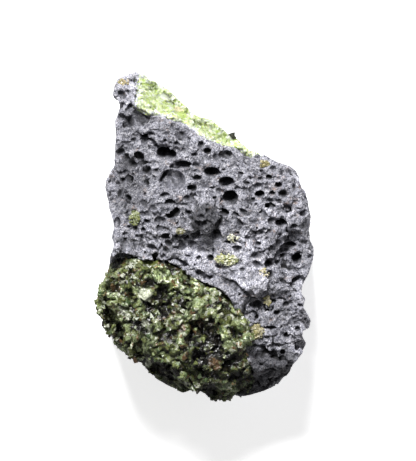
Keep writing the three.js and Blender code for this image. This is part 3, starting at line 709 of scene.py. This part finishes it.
def area_tones_and_painted_light(points):
    """Tone of each point from the listed areas, with their painted shade and highlight, and the band's pale
    rim.
    """
    uneven = 1.4 * sampled(waves(2.6, 34), points)
    tones = 0.18 * sampled(waves(7.0, 35), points) + 0.12 * sampled(waves(2.4, 36), points)
    for x, y, radius, tone in AREAS:
        gap = np.hypot(points[:, 0] - x, points[:, 1] - y) + uneven * min(1.0, radius / 4)
        tones += tone * (1 - fade(gap, 0.7 * radius, 1.1 * radius)) * fade(points[:, 2], 12.0, 22.0)
    rim = sampled(band_space, points)
    pale_rim = (1 - fade(rim, 0.5, PALE_RIM)) * fade(points[:, 2], 18.0, 24.0)
    return np.clip(tones, -1.3, 0.5) + 0.25 * pale_rim


# the tone attribute holds the rock's own pale and dark areas along with painted shade and a painted
# highlight; edges that stand out are made paler
tone = basalt.data.attributes.new("tone", "FLOAT", "POINT")
tone.data.foreach_set("value", np.exp(area_tones_and_painted_light(points) + 0.7 * np.clip(cavity, 0, 0.25)).astype(np.float32))
print("areas:", len(AREAS))

# %% Hand the basalt to the frame
volume = bmesh.new()
volume.from_mesh(basalt.data)
print("basalt faces:", len(basalt.data.polygons))
print("volume in cm3:", round(volume.calc_volume(signed=True) * 1e6, 1))
volume.free()
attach(basalt, "root")
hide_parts("basalt_matrix")

# %% [markdown]
# ## Olivine grains
#
# The nodule is a pack of glassy grains from half a millimetre to three millimetres across. Where the
# rock was broken, each shows a few flat or curved faces at its own tilt, so light jumps from grain to
# grain. A bump pattern can't give that. Here each grain is a small solid of its own: the convex hull
# of a few points thrown on a ball, so no face has a regular shape. A few dozen such shapes are
# enough, since each grain is turned, stretched and sized by chance.

# %% Grain shapes
def stone_shape(chance, corners):
    """Points and faces of a convex stone with that many corners, about one unit in radius."""
    stone = bmesh.new()
    for _ in range(corners):
        stone.verts.new(Vector(chance.normal(size=3)).normalized() * chance.uniform(0.85, 1.15))
    bmesh.ops.convex_hull(stone, input=stone.verts[:])
    loose = [vertex for vertex in stone.verts if not vertex.link_faces]
    bmesh.ops.delete(stone, geom=loose, context="VERTS")
    bmesh.ops.recalc_face_normals(stone, faces=stone.faces[:])
    stone.verts.index_update()
    points = np.array([vertex.co[:] for vertex in stone.verts])
    faces = [[vertex.index for vertex in face.verts] for face in stone.faces]
    stone.free()
    return points - points.mean(0), faces


chance = np.random.default_rng(41)
STONES = [stone_shape(chance, int(chance.integers(8, 11))) for _ in range(60)]
print("stone shapes:", len(STONES), "faces each:", sorted({len(faces) for _, faces in STONES}))


# %% Grains as one mesh
def random_turns(chance, count):
    """Rotation matrices, evenly spread over all directions."""
    w, x, y, z = chance.normal(size=(count, 4)).T
    size = np.sqrt(w * w + x * x + y * y + z * z)
    w, x, y, z = w / size, x / size, y / size, z / size
    rows = [
        [1 - 2 * (y * y + z * z), 2 * (x * y - w * z), 2 * (x * z + w * y)],
        [2 * (x * y + w * z), 1 - 2 * (x * x + z * z), 2 * (y * z - w * x)],
        [2 * (x * z - w * y), 2 * (y * z + w * x), 1 - 2 * (x * x + y * y)],
    ]
    return np.array(rows).transpose(2, 0, 1)


def grain_arrays(chance, places, radii, tints):
    """Points, faces by corner count, and a tint for each point, of many grains."""
    turns = random_turns(chance, len(places))
    stretch = radii[:, None] * chance.uniform(0.75, 1.15, (len(places), 3))
    kind = chance.integers(len(STONES), size=len(places))
    points, colours, faces, start = [], [], {}, 0
    for index, (shape, sides) in enumerate(STONES):
        chosen = np.flatnonzero(kind == index)
        if not len(chosen):
            continue
        local = shape[None] * stretch[chosen][:, None]
        moved = np.einsum("gij,gnj->gni", turns[chosen], local) + places[chosen][:, None]
        points.append(moved.reshape(-1, 3))
        colours.append(np.repeat(tints[chosen], len(shape), axis=0))
        firsts = start + len(shape) * np.arange(len(chosen))
        for side in sides:
            faces.setdefault(len(side), []).append(firsts[:, None] + np.array(side)[None])
        start += len(shape) * len(chosen)
    grouped = [np.concatenate(faces[count]) for count in sorted(faces)]
    return np.concatenate(points), grouped, np.concatenate(colours)


def grain_object(name, points, faces, colours):
    """An object of grains, with the tint of each grain as a colour attribute."""
    made = mesh_object(name, points, faces)
    tint = made.data.color_attributes.new("grain_tint", "FLOAT_COLOR", "POINT")
    rgba = np.concatenate([colours, np.ones((len(colours), 1))], axis=1)
    tint.data.foreach_set("color", rgba.astype(np.float32).ravel())
    facet = made.data.attributes.new("facet", "FLOAT", "FACE")
    tones = np.random.default_rng(43).random(len(made.data.polygons))
    facet.data.foreach_set("value", tones.astype(np.float32))
    made.data.shade_flat()
    return made


# %% [markdown]
# ## Where the grains sit
#
# The olivine masses get a field of their own first: the solid's shape, broken into knots with dark
# crevices between them, and then into grain-sized faces. Loose grains are set on that surface, spaced
# so that no two are closer than a grain's width. Places that face the basalt are left out, because
# nobody sees them.

# %% Colours of grains
def linear(code):
    """A colour written as #rrggbb, as the light amounts that Blender computes with."""
    shares = np.array([int(code[i:i + 2], 16) / 255 for i in (1, 3, 5)])
    return np.where(shares <= 0.04045, shares / 12.92, ((shares + 0.055) / 1.055) ** 2.4)


def tinted(chance, palette, lightness):
    """A colour for each grain. Where lightness is high, pale colours win."""
    codes, weights = list(palette), np.array(list(palette.values()), float)
    colours = np.array([linear(code) for code in codes])
    brightness = np.log(colours.mean(1))
    brightness = (brightness - brightness.mean()) / brightness.std()
    chances = weights[None] * np.exp(0.9 * lightness[:, None] * brightness[None])
    chances /= chances.sum(1, keepdims=True)
    pick = (np.cumsum(chances, axis=1) < chance.random(len(lightness))[:, None]).sum(1)
    return colours[np.minimum(pick, len(codes) - 1)] * chance.uniform(0.8, 1.25, (len(lightness), 1))


# %% Spread points over a field's surface
def slopes(field, cells):
    """Outward directions of a field's surface at some of its cells."""
    inner = np.clip(cells, 1, np.array(SHAPE) - 2)
    steps = np.eye(3, dtype=int)
    rise = [field[tuple((inner + step).T)] - field[tuple((inner - step).T)] for step in steps]
    rise = np.stack(rise, 1)
    return rise / np.maximum(np.linalg.norm(rise, axis=1, keepdims=True), 1e-6)


def spaced(points, spacing):
    """Indices of points that lie at least their spacing apart, in order."""
    cells, chosen = {}, []
    keys = np.floor(points / float(np.max(spacing))).astype(int).tolist()
    for index, key in enumerate(keys):
        around = [
            other
            for i in (-1, 0, 1) for j in (-1, 0, 1) for k in (-1, 0, 1)
            for other in cells.get((key[0] + i, key[1] + j, key[2] + k), ())
        ]
        if around:
            gaps = ((points[around] - points[index]) ** 2).sum(1)
            if (gaps < (0.5 * (spacing[index] + spacing[around])) ** 2).any():
                continue
        cells.setdefault(tuple(key), []).append(index)
        chosen.append(index)
    return np.array(chosen)


CANDIDATES = 60000  # points of the surface that are tried
SIDE_SHARE = 0.35  # share of them that is kept on the sides and the foot
SPACING = 1.55  # distance between two grains, in radii
SINK = 0.6  # how deep a grain sits in the surface, in radii


def strewn(chance, field, skin, count, sizes, palette, tones):
    """Grains over the open part of a surface, given as points. The sides get fewer than the front."""
    points = skin[chance.permutation(len(skin))[:CANDIDATES]]
    normals = slopes(field, cells_at(points))
    wanted = chance.random(len(points)) < np.where(sides(points) | foot(points), SIDE_SHARE, 1.0)
    wanted &= sampled(rock, points + 0.8 * normals) > 0.1
    points, normals = points[wanted], normals[wanted]
    radii = sizes[0] + (sizes[1] - sizes[0]) * chance.random(len(points)) ** 2.5
    radii *= np.where(points[:, 2] < 25, 0.7, 1.0)
    order = np.argsort(-radii)
    points, normals, radii = points[order], normals[order], radii[order]
    chosen = spaced(points, SPACING * radii)[:count]
    points, normals, radii = points[chosen], normals[chosen], radii[chosen]
    places = points - normals * (SINK * radii)[:, None]
    return places, radii, tinted(chance, palette, sampled(tones, points))


# %% [markdown]
# ## The nodule and the band
#
# The nodule's grains run from black through deep olive to pale yellow-green, with a few grass-green
# and rusty ones. They hold together in knots: pale knots stand proud, and dark pits between them are
# sunk. The pits are painted darker, partly for their own dark grains and partly as painted shade.
# Its crevices are painted darker as painted shade, grains that stand out are painted paler, and the
# whole nodule is painted darker towards its lower end, as painted shade. The knots that show on the
# front face are listed one by one. Next to the basalt ledge above it the nodule is sunk, so the
# ledge throws a shadow on it.
#
# The band is fresher: pale, sugary and much less broken. A few dark grains that jut from its edge are
# listed one by one. Under the loose grains of both masses lies the broken surface of the mass itself,
# tinted grain by grain.

# %% Pale knots and dark hollows of the nodule
# x, y and radius in millimetres, and a tone: above zero a pale raised knot, below zero a dark pit
# the dark pits' tone is partly their own dark grains and partly painted shade
KNOTS = [
    (-12.5, -9.7, 3.0, 1.2), (-8.3, -12.7, 2.2, 1.0), (-2.7, -13.3, 2.6, 0.9), (2.9, -13.6, 2.2, 0.5),
    (-2.4, -18.3, 2.8, 1.1), (-28.4, -17.8, 2.8, 0.6), (-22.8, -18.3, 2.4, 0.5), (5.5, -27.0, 1.8, 0.8),
    (-19.5, -30.9, 1.8, 0.6), (-14.1, -31.8, 2.0, 0.7), (-6.0, -37.4, 2.9, 0.9), (6.0, -41.9, 2.8, 0.9),
    (10.2, -37.4, 2.2, 0.8), (-6.6, -27.9, 1.7, 0.7), (2.7, -20.9, 2.2, 0.6), (9.7, -24.8, 1.8, 0.9),
    (8.4, -19.6, 1.5, 0.8), (11.0, -28.4, 1.5, 0.9), (-18.6, -8.6, 2.0, 0.5), (-5.4, -22.9, 2.4, 0.5),
    (-15.5, -12.7, 2.0, -1.2), (-11.9, -15.8, 2.2, -1.2), (-14.1, -19.4, 3.2, -0.9), (0.7, -24.5, 2.8, -1.4),
    (-3.4, -28.4, 2.6, -1.5), (2.4, -29.6, 2.6, -1.2), (-19.7, -34.0, 3.0, -1.0), (-12.2, -38.8, 4.2, -1.0),
    (1.0, -43.5, 3.0, -1.0), (-25.3, -6.9, 2.6, -1.5), (-16.5, -24.8, 2.8, -0.8), (-1.5, -33.9, 3.0, -0.9),
    (-23.9, -26.4, 2.4, -0.8), (-8.5, -6.8, 2.6, -1.0), (7.0, -33.6, 2.4, -0.9), (-24.5, -12.0, 2.2, -0.5),
]
NODULE_TINTS = {
    "#646a36": 20, "#7e8850": 19, "#3a341e": 16, "#18130d": 15, "#98a576": 15, "#778a60": 7,
    "#566c42": 3, "#7c6040": 8, "#d0d4bc": 4,
}
BAND_TINTS = {
    "#b8c49a": 30, "#b2c084": 28, "#a6b968": 17, "#ced4c2": 18, "#9aae54": 3, "#beb792": 3,
}


def knot_tones():
    """Tone of every column of cells from the listed knots."""
    tones = np.zeros(SHAPE[:2], np.float32)
    for x, y, radius, tone in KNOTS:
        gap = np.hypot(X[:, :, 0] - x, Y[:, :, 0] - y) + 0.8 * edge_jags
        tones += tone * (1 - fade(gap, 0.55 * radius, 1.25 * radius))
    return np.clip(tones, -1.5, 1.3)[:, :, None]


def knotted(field, seed, deep, length):
    """A field broken into knots, with crevices that deep between them and shallower on the sides."""
    swell = waves(length, seed) + 0.5 * waves(0.45 * length, seed + 1)
    crevice = 1 - fade(np.abs(swell), 0.0, 0.24)
    on_front = 0.3 + 0.7 * fade(Z, 22.0, 27.0)
    return field + deep * on_front * (crevice + 0.3 * waves(1.3 * length, seed + 2))


def broken_mass(field, layers):
    """A mass broken into grain faces, coarse ones first. A layer is grain size, seed and steepness."""
    for length, seed, steep in layers:
        break_surface(field, length, seed, steep, min(1.5, 0.9 * length))


WHOLE_GRAINS = 0.25  # share of the coarser grains that show no finer ones


def grain_tints(chance, points, layers, palette, tones):
    """A tint for each point. Some coarse grains are whole; the others show the finer grains in them."""
    tints, whole = np.zeros((len(points), 3)), np.full(len(points), False)
    for length, seed, _ in layers:
        grains = broken(points, length, seed)[1]
        numbers, first, place = np.unique(grains, return_index=True, return_inverse=True)
        colours = tinted(chance, palette, sampled(tones, points[first]))[place]
        tints = np.where(whole[:, None], tints, colours)
        whole = whole | (chance.random(len(numbers)) < WHOLE_GRAINS)[place]
    return tints * np.exp(0.45 * sampled(tones, points))[:, None]


def hidden_in(field):
    """A zone: the points of a field's surface that face the basalt."""
    def zone(points):
        outward = slopes(field, cells_at(points))
        return sampled(rock, points + 1.5 * outward) < 0.1
    return zone


def triangle_corners(made):
    """The mesh's triangles, as an array of point numbers."""
    made.data.calc_loop_triangles()
    corners = np.empty(3 * len(made.data.loop_triangles), np.int32)
    made.data.loop_triangles.foreach_get("vertices", corners)
    return corners.reshape(-1, 3)


def joined(first, second):
    """Two sets of (points, faces, colours) as one."""
    faces = {}
    for start, (_, groups, _) in ((0, first), (len(first[0]), second)):
        for group in groups:
            if len(group):
                faces.setdefault(group.shape[1], []).append(group + start)
    return (
        np.concatenate([first[0], second[0]]),
        [np.concatenate(faces[count]) for count in sorted(faces)],
        np.concatenate([first[2], second[2]]),
    )


def olivine_piece(name, seed, field, layers, most, count, sizes, palette, tones, placed=None):
    """A granular olivine mass: its broken surface, with loose grains on it.

    most is the number of triangles left to the surface, count and sizes belong to the loose grains,
    and placed holds listed grains.
    """
    chance = np.random.default_rng(seed)
    points, triangles, squares = field_surface(field, 0.15)
    keep = largest_island(len(points), triangles, squares)
    mass = mesh_object("mass", points[keep], keep_points(keep, triangles, squares))
    grains = strewn(chance, field, points[keep], count, sizes, palette, tones)
    if placed:
        grains = [np.concatenate(pair) for pair in zip(grains, placed)]
    mass = within(mass, most, (hidden_in(field), 0.03), (foot, 0.1), (low_sides, 0.25))
    skin = mesh_points(mass.data)
    surface = skin, [triangle_corners(mass)], grain_tints(chance, skin, layers, palette, tones)
    bpy.data.objects.remove(mass)
    made = grain_object(name, *joined(grain_arrays(chance, *grains), surface))
    print(name, "grains:", len(grains[0]), "triangles:", len(triangle_corners(made)))
    return made


def hand_over(made, node):
    """The object rides with the specimen, and stands for a node of the solid model."""
    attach(made, "root")
    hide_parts(node)


# %% The nodule
# points of each ledge's edge, drop and width in millimetres
NODULE_LEDGES = [
    ([(11.2, -31.1), (8.2, -32.7), (5.4, -34.7), (2.2, -36.7), (-2.2, -36.3), (-6.2, -35.1),
      (-11.0, -33.5), (-15.8, -32.7), (-20.5, -32.0)], 4.0, 8.0),
    ([(6.0, -25.5), (1.4, -26.7), (-1.4, -24.7), (-3.8, -23.5), (-7.4, -23.7), (-10.2, -24.7),
      (-13.5, -24.0)], 2.8, 6.0),
    ([(-8.0, -16.8), (-13.0, -18.7), (-15.8, -17.9), (-18.2, -16.7), (-22.5, -16.0)], 2.0, 5.0),
    ([(1.0, -16.0), (-3.8, -14.3), (-7.8, -14.7), (-11.0, -13.9), (-14.2, -12.3), (-18.0, -10.4)], 1.3, 4.0),
]
# grain size in millimetres, seed and steepness
NODULE_LAYERS = ((3.4, 61, 0.34), (1.6, 62, 0.34), (0.9, 63, 0.28))
front_tones = knot_tones() * fade(Z, 14.0, 26.0)
# painted shade: the nodule darkens towards its lower end
nodule_tone_and_shade = front_tones + 0.5 * waves(5.0, 53) + 0.4 * waves(2.4, 54) - 0.9 * fade(-Y, 26.0, 38.0)
nodule_field = blurred(distance_field("olivine_nodule"), 0.7) - 0.9
nodule_field = knotted(nodule_field, 55, 1.3, 6.5) - 1.0 * front_tones
nodule_field += 1.8 * fade(-basalt_field, -2.6, -0.2) * fade(Y, -24.0, -13.0) * fade(Z, 24.0, 30.0)
for path, drop, width in NODULE_LEDGES:
    cut_ledge(nodule_field, path, drop, width)
open_side = (1 - fade(Y, -12.0, -8.0)) * (1 - fade(X, 4.0, 9.0))
nodule_field = fitted(nodule_field, 2.4 * open_side, 0.2)
broken_mass(nodule_field, NODULE_LAYERS)
nodule_field = fitted(nodule_field, 0.0, 0.1)
nodule_field = np.maximum(nodule_field, Z - high_mm[2])
# painted shade: crevices of the broken mass are darker, and grains that stand out paler
nodule_tone_and_shade += 1.5 * np.clip(blurred(nodule_field, 1.1), -0.8, 0.6)
nodule = olivine_piece(
    "nodule_grains", 71, nodule_field, NODULE_LAYERS, most=100000, count=7400, sizes=(0.32, 1.0),
    palette=NODULE_TINTS, tones=nodule_tone_and_shade,
)
hand_over(nodule, "olivine_nodule")

# %% The band
# places, radius in millimetres and colour of the dark grains that jut from the edge like one
DARK_GRAINS = [(7.4, 28.2), (7.0, 28.9), (8.0, 28.0), (7.6, 28.8)]
DARK_RADIUS, DARK_TINT = 1.0, "#34362a"
DARK_SINK = 0.6  # how far their middles lie under the band's surface, in millimetres
BESIDE = 1.5  # how far inside the edge that surface is measured, in millimetres
BAND_LAYERS = ((2.6, 65, 0.12), (1.2, 66, 0.13), (0.8, 67, 0.1))
band_tones = 0.35 * waves(4.5, 56) + 0.2 * waves(2.0, 57) - 0.05 + 0.9 * fade(-rock, -2.4, -0.5)
band_field = knotted(blurred(band_space, 0.9) - 0.45, 58, 0.25, 6.0)
band_field = fitted(band_field, 1.6, 0.15)
broken_mass(band_field, BAND_LAYERS)
band_field = fitted(band_field, 0.0)
band_field = np.maximum(band_field, Z - high_mm[2])
heights = surface_heights(band_field)
beside = [round((DARK_GRAINS[0][axis] - BESIDE - ORIGIN[axis]) / CELL) for axis in (0, 1)]
places = np.array([(x, y, heights[tuple(beside)] - DARK_SINK) for x, y in DARK_GRAINS])
dark_tints = np.tile(linear(DARK_TINT), (len(places), 1))
band = olivine_piece(
    "band_grains", 72, band_field, BAND_LAYERS, most=90000, count=2200, sizes=(0.25, 0.45),
    palette=BAND_TINTS, tones=band_tones,
    placed=(places, np.full(len(places), DARK_RADIUS), dark_tints),
)
hand_over(band, "olivine_band")

# %% [markdown]
# ## Single crystals
#
# The crystals set in the basalt are brittle and have split into small shards along their cleavage.
# Each becomes a cluster of shards over the top of its solid, spread a little past its edge so that it
# doesn't look cut out. Where the broken rock stands higher than the solid one did, it would bury the
# shards, so there they are raised together.

# %% Crystals set in the basalt
CRYSTAL_TINTS = {"#e8e6c0": 28, "#d0ce90": 18, "#b4b97c": 12, "#faf9ea": 36, "#98a070": 5, "#5c6440": 2}

# for each crystal a colour laid over its shards, how far they spread, and how pale they run
CRYSTALS = [
    ("#bcc4a8", 1.3, 0.0), ("#fafcf4", 1.3, 0.3), ("#ffffff", 2.2, 2.4), ("#fff6ea", 1.7, 0.8),
    ("#b2b0a6", 1.3, 0.4), ("#fff8e0", 1.7, 1.0), ("#ccc4ae", 1.3, 0.4), ("#c4ba9c", 1.7, 0.0),
    ("#f0e0cc", 1.5, 0.8),
]
SHARDS_STAND = 0.3  # how far, in millimetres, the middles of raised shards stand off the rock


def raised(places):
    """The shards of one crystal, raised together if the rock would cover most of them."""
    at = cells_at(places)
    cover = np.median(front[at[:, 0], at[:, 1]] - places[:, 2])
    return places + np.array([0.0, 0.0, max(0.0, cover + SHARDS_STAND)])


def shard_cluster(name, node, seed, cast, spread, pale):
    """A split crystal: shards that fill the top of the node's box."""
    chance = np.random.default_rng(seed)
    low, high = (np.array(corner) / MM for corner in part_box(node))
    middle, half = (low + high) / 2, (high - low) / 2
    count = int(np.clip(27 * half[0] * half[1], 24, 320))
    angle, reach = chance.uniform(0, math.tau, count), np.sqrt(chance.random(count))
    radii = chance.uniform(0.3, 0.65, count) * min(1.0, half.min() / 0.9)
    rise = 1.35 - 0.5 * reach**2 - 0.4 * chance.random(count)
    aside = np.stack([spread * reach * np.cos(angle), spread * reach * np.sin(angle), rise], 1)
    places = raised(middle + aside * np.maximum(half - 0.8 * radii[:, None], 0.1))
    tints = tinted(chance, CRYSTAL_TINTS, chance.normal(pale, 0.4, len(places))) * linear(cast)
    made = grain_object(name, *grain_arrays(chance, places, radii, tints))
    hand_over(made, node)
    return made


crystals = [
    shard_cluster(f"crystal_{i}", f"olivine_crystal_{i}", 80 + i, *row)
    for i, row in enumerate(CRYSTALS, 1)
]
print("crystals:", len(crystals))

# %% [markdown]
# ## The finish of the basalt
#
# Fresh basalt is a fine-grained mid grey with pale felspar needles and dark specks too small to
# model. Tiny pits get dark dots of painted shade. The hollows have a smoother, darker grey lining, and
# over it painted shade that deepens to near black; edges that stand out are paler. All of it comes
# from noise and cell patterns laid through space and from the two attributes, so it has no seams.

# %% Material helpers
def finish(name):
    """A new material: its nodes, its links and its main shader."""
    material = bpy.data.materials.new(name)
    material.use_nodes = True
    nodes, links = material.node_tree.nodes, material.node_tree.links
    return material, nodes, links, nodes["Principled BSDF"]


def pattern(nodes, links, kind, scale, **settings):
    """A noise or cell pattern laid through space, scale in features for each metre."""
    where = nodes.new("ShaderNodeTexCoord")
    made = nodes.new(kind)
    made.inputs["Scale"].default_value = scale
    for key, value in settings.items():
        if hasattr(made, key):
            setattr(made, key, value)
        else:
            made.inputs[key].default_value = value
    links.new(where.outputs["Object"], made.inputs["Vector"])
    return made


def ramp(nodes, links, source, stops):
    """Colours or shares by value: stops are (value, colour)."""
    made = nodes.new("ShaderNodeValToRGB")
    while len(made.color_ramp.elements) < len(stops):
        made.color_ramp.elements.new(0.5)
    for element, (value, colour) in zip(made.color_ramp.elements, stops):
        element.position = value
        element.color = (*colour, 1) if len(colour) == 3 else colour
    links.new(source, made.inputs["Fac"])
    return made.outputs["Color"]


def grey(share):
    """The same share of red, green and blue."""
    return (share, share, share)


def mixed(nodes, links, kind, share, first, second):
    """Two colours mixed; share may be a number or another node's output."""
    made = nodes.new("ShaderNodeMix")
    made.data_type = "RGBA"
    made.blend_type = kind
    for value, socket_name in ((share, "Factor"), (first, "A"), (second, "B")):
        socket = made.inputs[socket_name]
        if isinstance(value, bpy.types.NodeSocket):
            links.new(value, socket)
        else:
            socket.default_value = value if isinstance(value, (int, float)) else (*value, 1)
    return made.outputs["Result"]


# %% Basalt
def attribute(nodes, name):
    """The value of a mesh attribute."""
    made = nodes.new("ShaderNodeAttribute")
    made.attribute_name = name
    return made.outputs["Fac"]


def basalt_finish():
    material, nodes, links, shader = finish("basalt")
    crystals = pattern(nodes, links, "ShaderNodeTexVoronoi", 3300)
    fine = pattern(nodes, links, "ShaderNodeTexVoronoi", 5200)
    mottle = pattern(nodes, links, "ShaderNodeTexNoise", 260, Detail=5.0, Roughness=0.6)
    stains = pattern(nodes, links, "ShaderNodeTexNoise", 330, Detail=4.0, Roughness=0.7)
    body = ramp(nodes, links, crystals.outputs["Color"], [
        (0.15, linear("#484850")), (0.35, linear("#74747f")), (0.55, linear("#8f8f99")),
        (0.75, linear("#acacb4")), (0.92, linear("#d4d2d6")),
    ])
    calm = ramp(nodes, links, attribute(nodes, "cavity"), [(0.52, grey(0.0)), (0.64, grey(0.8))])
    body = mixed(nodes, links, "MIX", calm, body, linear("#767680"))
    speck = ramp(nodes, links, fine.outputs["Color"], [
        (0.25, grey(0.55)), (0.5, grey(0.9)), (0.7, grey(1.0)),
    ])
    colour = mixed(nodes, links, "MULTIPLY", 1.0, body, speck)
    cloud = ramp(nodes, links, mottle.outputs["Fac"], [(0.32, grey(0.7)), (0.68, grey(1.0))])
    colour = mixed(nodes, links, "MULTIPLY", 1.0, colour, cloud)
    needles = pattern(nodes, links, "ShaderNodeTexNoise", 1200, Detail=3.0, Roughness=0.6, Distortion=1.6)
    pale = ramp(nodes, links, needles.outputs["Fac"], [(0.52, grey(0.0)), (0.62, grey(0.5))])
    colour = mixed(nodes, links, "MIX", pale, colour, linear("#b0aeb3"))
    # painted shade: dark dots stand for the shadows in tiny pits too small to model
    pits = pattern(nodes, links, "ShaderNodeTexVoronoi", 1300)
    painted_pit_shade = ramp(nodes, links, pits.outputs["Distance"], [(0.1, grey(0.25)), (0.26, grey(1.0))])
    colour = mixed(nodes, links, "MULTIPLY", 1.0, colour, painted_pit_shade)
    rust = ramp(nodes, links, stains.outputs["Fac"], [(0.6, grey(0.0)), (0.74, grey(0.5))])
    colour = mixed(nodes, links, "MIX", rust, colour, linear("#9a7a62"))
    # tone brings in the painted shade and painted highlight of the listed areas as well as the rock's own
    # tones
    colour = mixed(nodes, links, "MULTIPLY", 1.0, colour, attribute(nodes, "tone"))
    # painted shade: the deeper a point lies in a hollow, the darker its colour, down to near black; standing
    # ridges keep more of theirs than flat ground
    shade = ramp(nodes, links, attribute(nodes, "cavity"), [
        (0.38, grey(1.0)), (0.57, grey(0.8)), (0.76, grey(0.28)), (0.93, grey(0.03)),
    ])
    colour = mixed(nodes, links, "MULTIPLY", 1.0, colour, shade)
    links.new(colour, shader.inputs["Base Color"])
    shader.inputs["Roughness"].default_value = 0.8
    shader.inputs["Specular IOR Level"].default_value = 0.4
    bump = nodes.new("ShaderNodeBump")
    bump.inputs["Strength"].default_value = 0.8
    bump.inputs["Distance"].default_value = 0.00012
    links.new(fine.outputs["Distance"], bump.inputs["Height"])
    links.new(bump.outputs["Normal"], shader.inputs["Normal"])
    return material


basalt.data.materials.append(basalt_finish())
print("basalt finish nodes:", len(basalt.data.materials[0].node_tree.nodes))

# %% [markdown]
# ## The finish of the olivine
#
# Olivine is glass-hard and clear, so light goes into a grain and comes back green. The grains take
# their tint from the attribute made above. Part of the light passes through, with olivine's own
# bending strength of 1.67, and the broken faces are glossy.

# %% Olivine
def olivine_finish(name, clear, rough, depth, glow=0.0):
    """Glassy grains. depth is how much flaws and tilted faces darken them, glow the spread of light."""
    material, nodes, links, shader = finish(name)
    tint = nodes.new("ShaderNodeVertexColor")
    tint.layer_name = "grain_tint"
    veil = pattern(nodes, links, "ShaderNodeTexNoise", 2900, Detail=3.0, Roughness=0.65)
    flaws = ramp(nodes, links, veil.outputs["Fac"], [
        (0.32, grey(1 - depth)), (0.52, grey(1 - 0.3 * depth)), (0.66, grey(1.0)),
    ])
    faces = ramp(nodes, links, attribute(nodes, "facet"), [
        (0.0, grey(1 - 0.8 * depth)), (0.6, grey(1 - 0.25 * depth)), (1.0, grey(1.0)),
    ])
    colour = mixed(nodes, links, "MULTIPLY", 1.0, tint.outputs["Color"], flaws)
    links.new(mixed(nodes, links, "MULTIPLY", 1.0, colour, faces), shader.inputs["Base Color"])
    gloss = ramp(nodes, links, veil.outputs["Fac"], [(0.35, grey(rough)), (0.7, grey(rough + 0.25))])
    links.new(gloss, shader.inputs["Roughness"])
    shader.inputs["Transmission Weight"].default_value = clear
    shader.inputs["Subsurface Weight"].default_value = glow
    shader.inputs["Subsurface Radius"].default_value = (1.0, 1.0, 0.5)
    shader.inputs["Subsurface Scale"].default_value = 0.0006
    shader.inputs["IOR"].default_value = 1.67
    bump = nodes.new("ShaderNodeBump")
    bump.inputs["Strength"].default_value = 0.8
    bump.inputs["Distance"].default_value = 0.00012
    links.new(veil.outputs["Fac"], bump.inputs["Height"])
    links.new(bump.outputs["Normal"], shader.inputs["Normal"])
    return material


nodule.data.materials.append(olivine_finish("olivine dark", 0.3, 0.2, 0.6))
band.data.materials.append(olivine_finish("olivine bright", 0.15, 0.3, 0.12, 0.6))
crystal_finish = olivine_finish("olivine crystal", 0.2, 0.2, 0.3)
for crystal in crystals:
    crystal.data.materials.append(crystal_finish)
print("olivine finishes: 3")

# %% [markdown]
# ## Floor, light and camera
#
# The specimen lies on its cleft underside on a plain pale floor, and the camera looks straight down
# at the broken face. The main light comes low from beyond the narrow end, so each hollow has a dark
# upper rim and a lit lower wall. A pale sky fills the shadows.

# %% Floor
FLOOR_REACH = 900


def floor_finish():
    """Matt white that glows a little, like a lit sheet of paper."""
    material, _, _, shader = finish("floor")
    shader.inputs["Base Color"].default_value = (*grey(0.86), 1)
    shader.inputs["Roughness"].default_value = 0.9
    shader.inputs["Emission Color"].default_value = (1, 1, 1, 1)
    shader.inputs["Emission Strength"].default_value = 0.7
    return material


corners = FLOOR_REACH * np.array([[-1, -1, 0], [1, -1, 0], [1, 1, 0], [-1, 1, 0]])
floor = mesh_object("floor", corners, [np.array([[0, 1, 2, 3]])])
floor.location.z = -0.00005
floor.data.materials.append(floor_finish())
floor.visible_glossy = False


# %% Light
def soft_box(name, azimuth, elevation, distance, size, power):
    """A square lamp that looks at the specimen. Azimuth 0 is beyond the narrow end, 90 to the right."""
    lamp = bpy.data.lights.new(name, "AREA")
    lamp.size = size
    lamp.energy = power
    made = bpy.data.objects.new(name, lamp)
    turn, rise = math.radians(azimuth), math.radians(elevation)
    away = Vector((math.sin(turn) * math.cos(rise), math.cos(turn) * math.cos(rise), math.sin(rise)))
    made.location = Vector((0, 0, 0.02)) + distance * away
    made.rotation_mode = "QUATERNION"
    made.rotation_quaternion = (-away).to_track_quat("-Z", "Y")
    bpy.context.collection.objects.link(made)
    return made


soft_box("main_light", -12, 48, 0.9, 0.26, 17.2)
sky = bpy.context.scene.world or bpy.data.worlds.new("sky")
bpy.context.scene.world = sky
sky.use_nodes = True
sky.node_tree.nodes["Background"].inputs["Color"].default_value = (1, 1, 1, 1)
sky.node_tree.nodes["Background"].inputs["Strength"].default_value = 0.18
bpy.context.scene.view_settings.view_transform = "Standard"

# %% Camera
LENS = 300
SENSOR = 36
FRAME_HEIGHT = 129.1
camera = bpy.data.objects.new("camera", bpy.data.cameras.new("camera"))
camera.data.lens = LENS
camera.data.sensor_width = SENSOR
camera.location = (0.7 * MM, 1.96 * MM, 0.024 + FRAME_HEIGHT * MM * LENS / SENSOR)
camera.data.clip_start = 0.05
camera.data.clip_end = 10
bpy.context.collection.objects.link(camera)
bpy.context.scene.camera = camera
print("camera height in mm:", round(camera.location.z / MM))
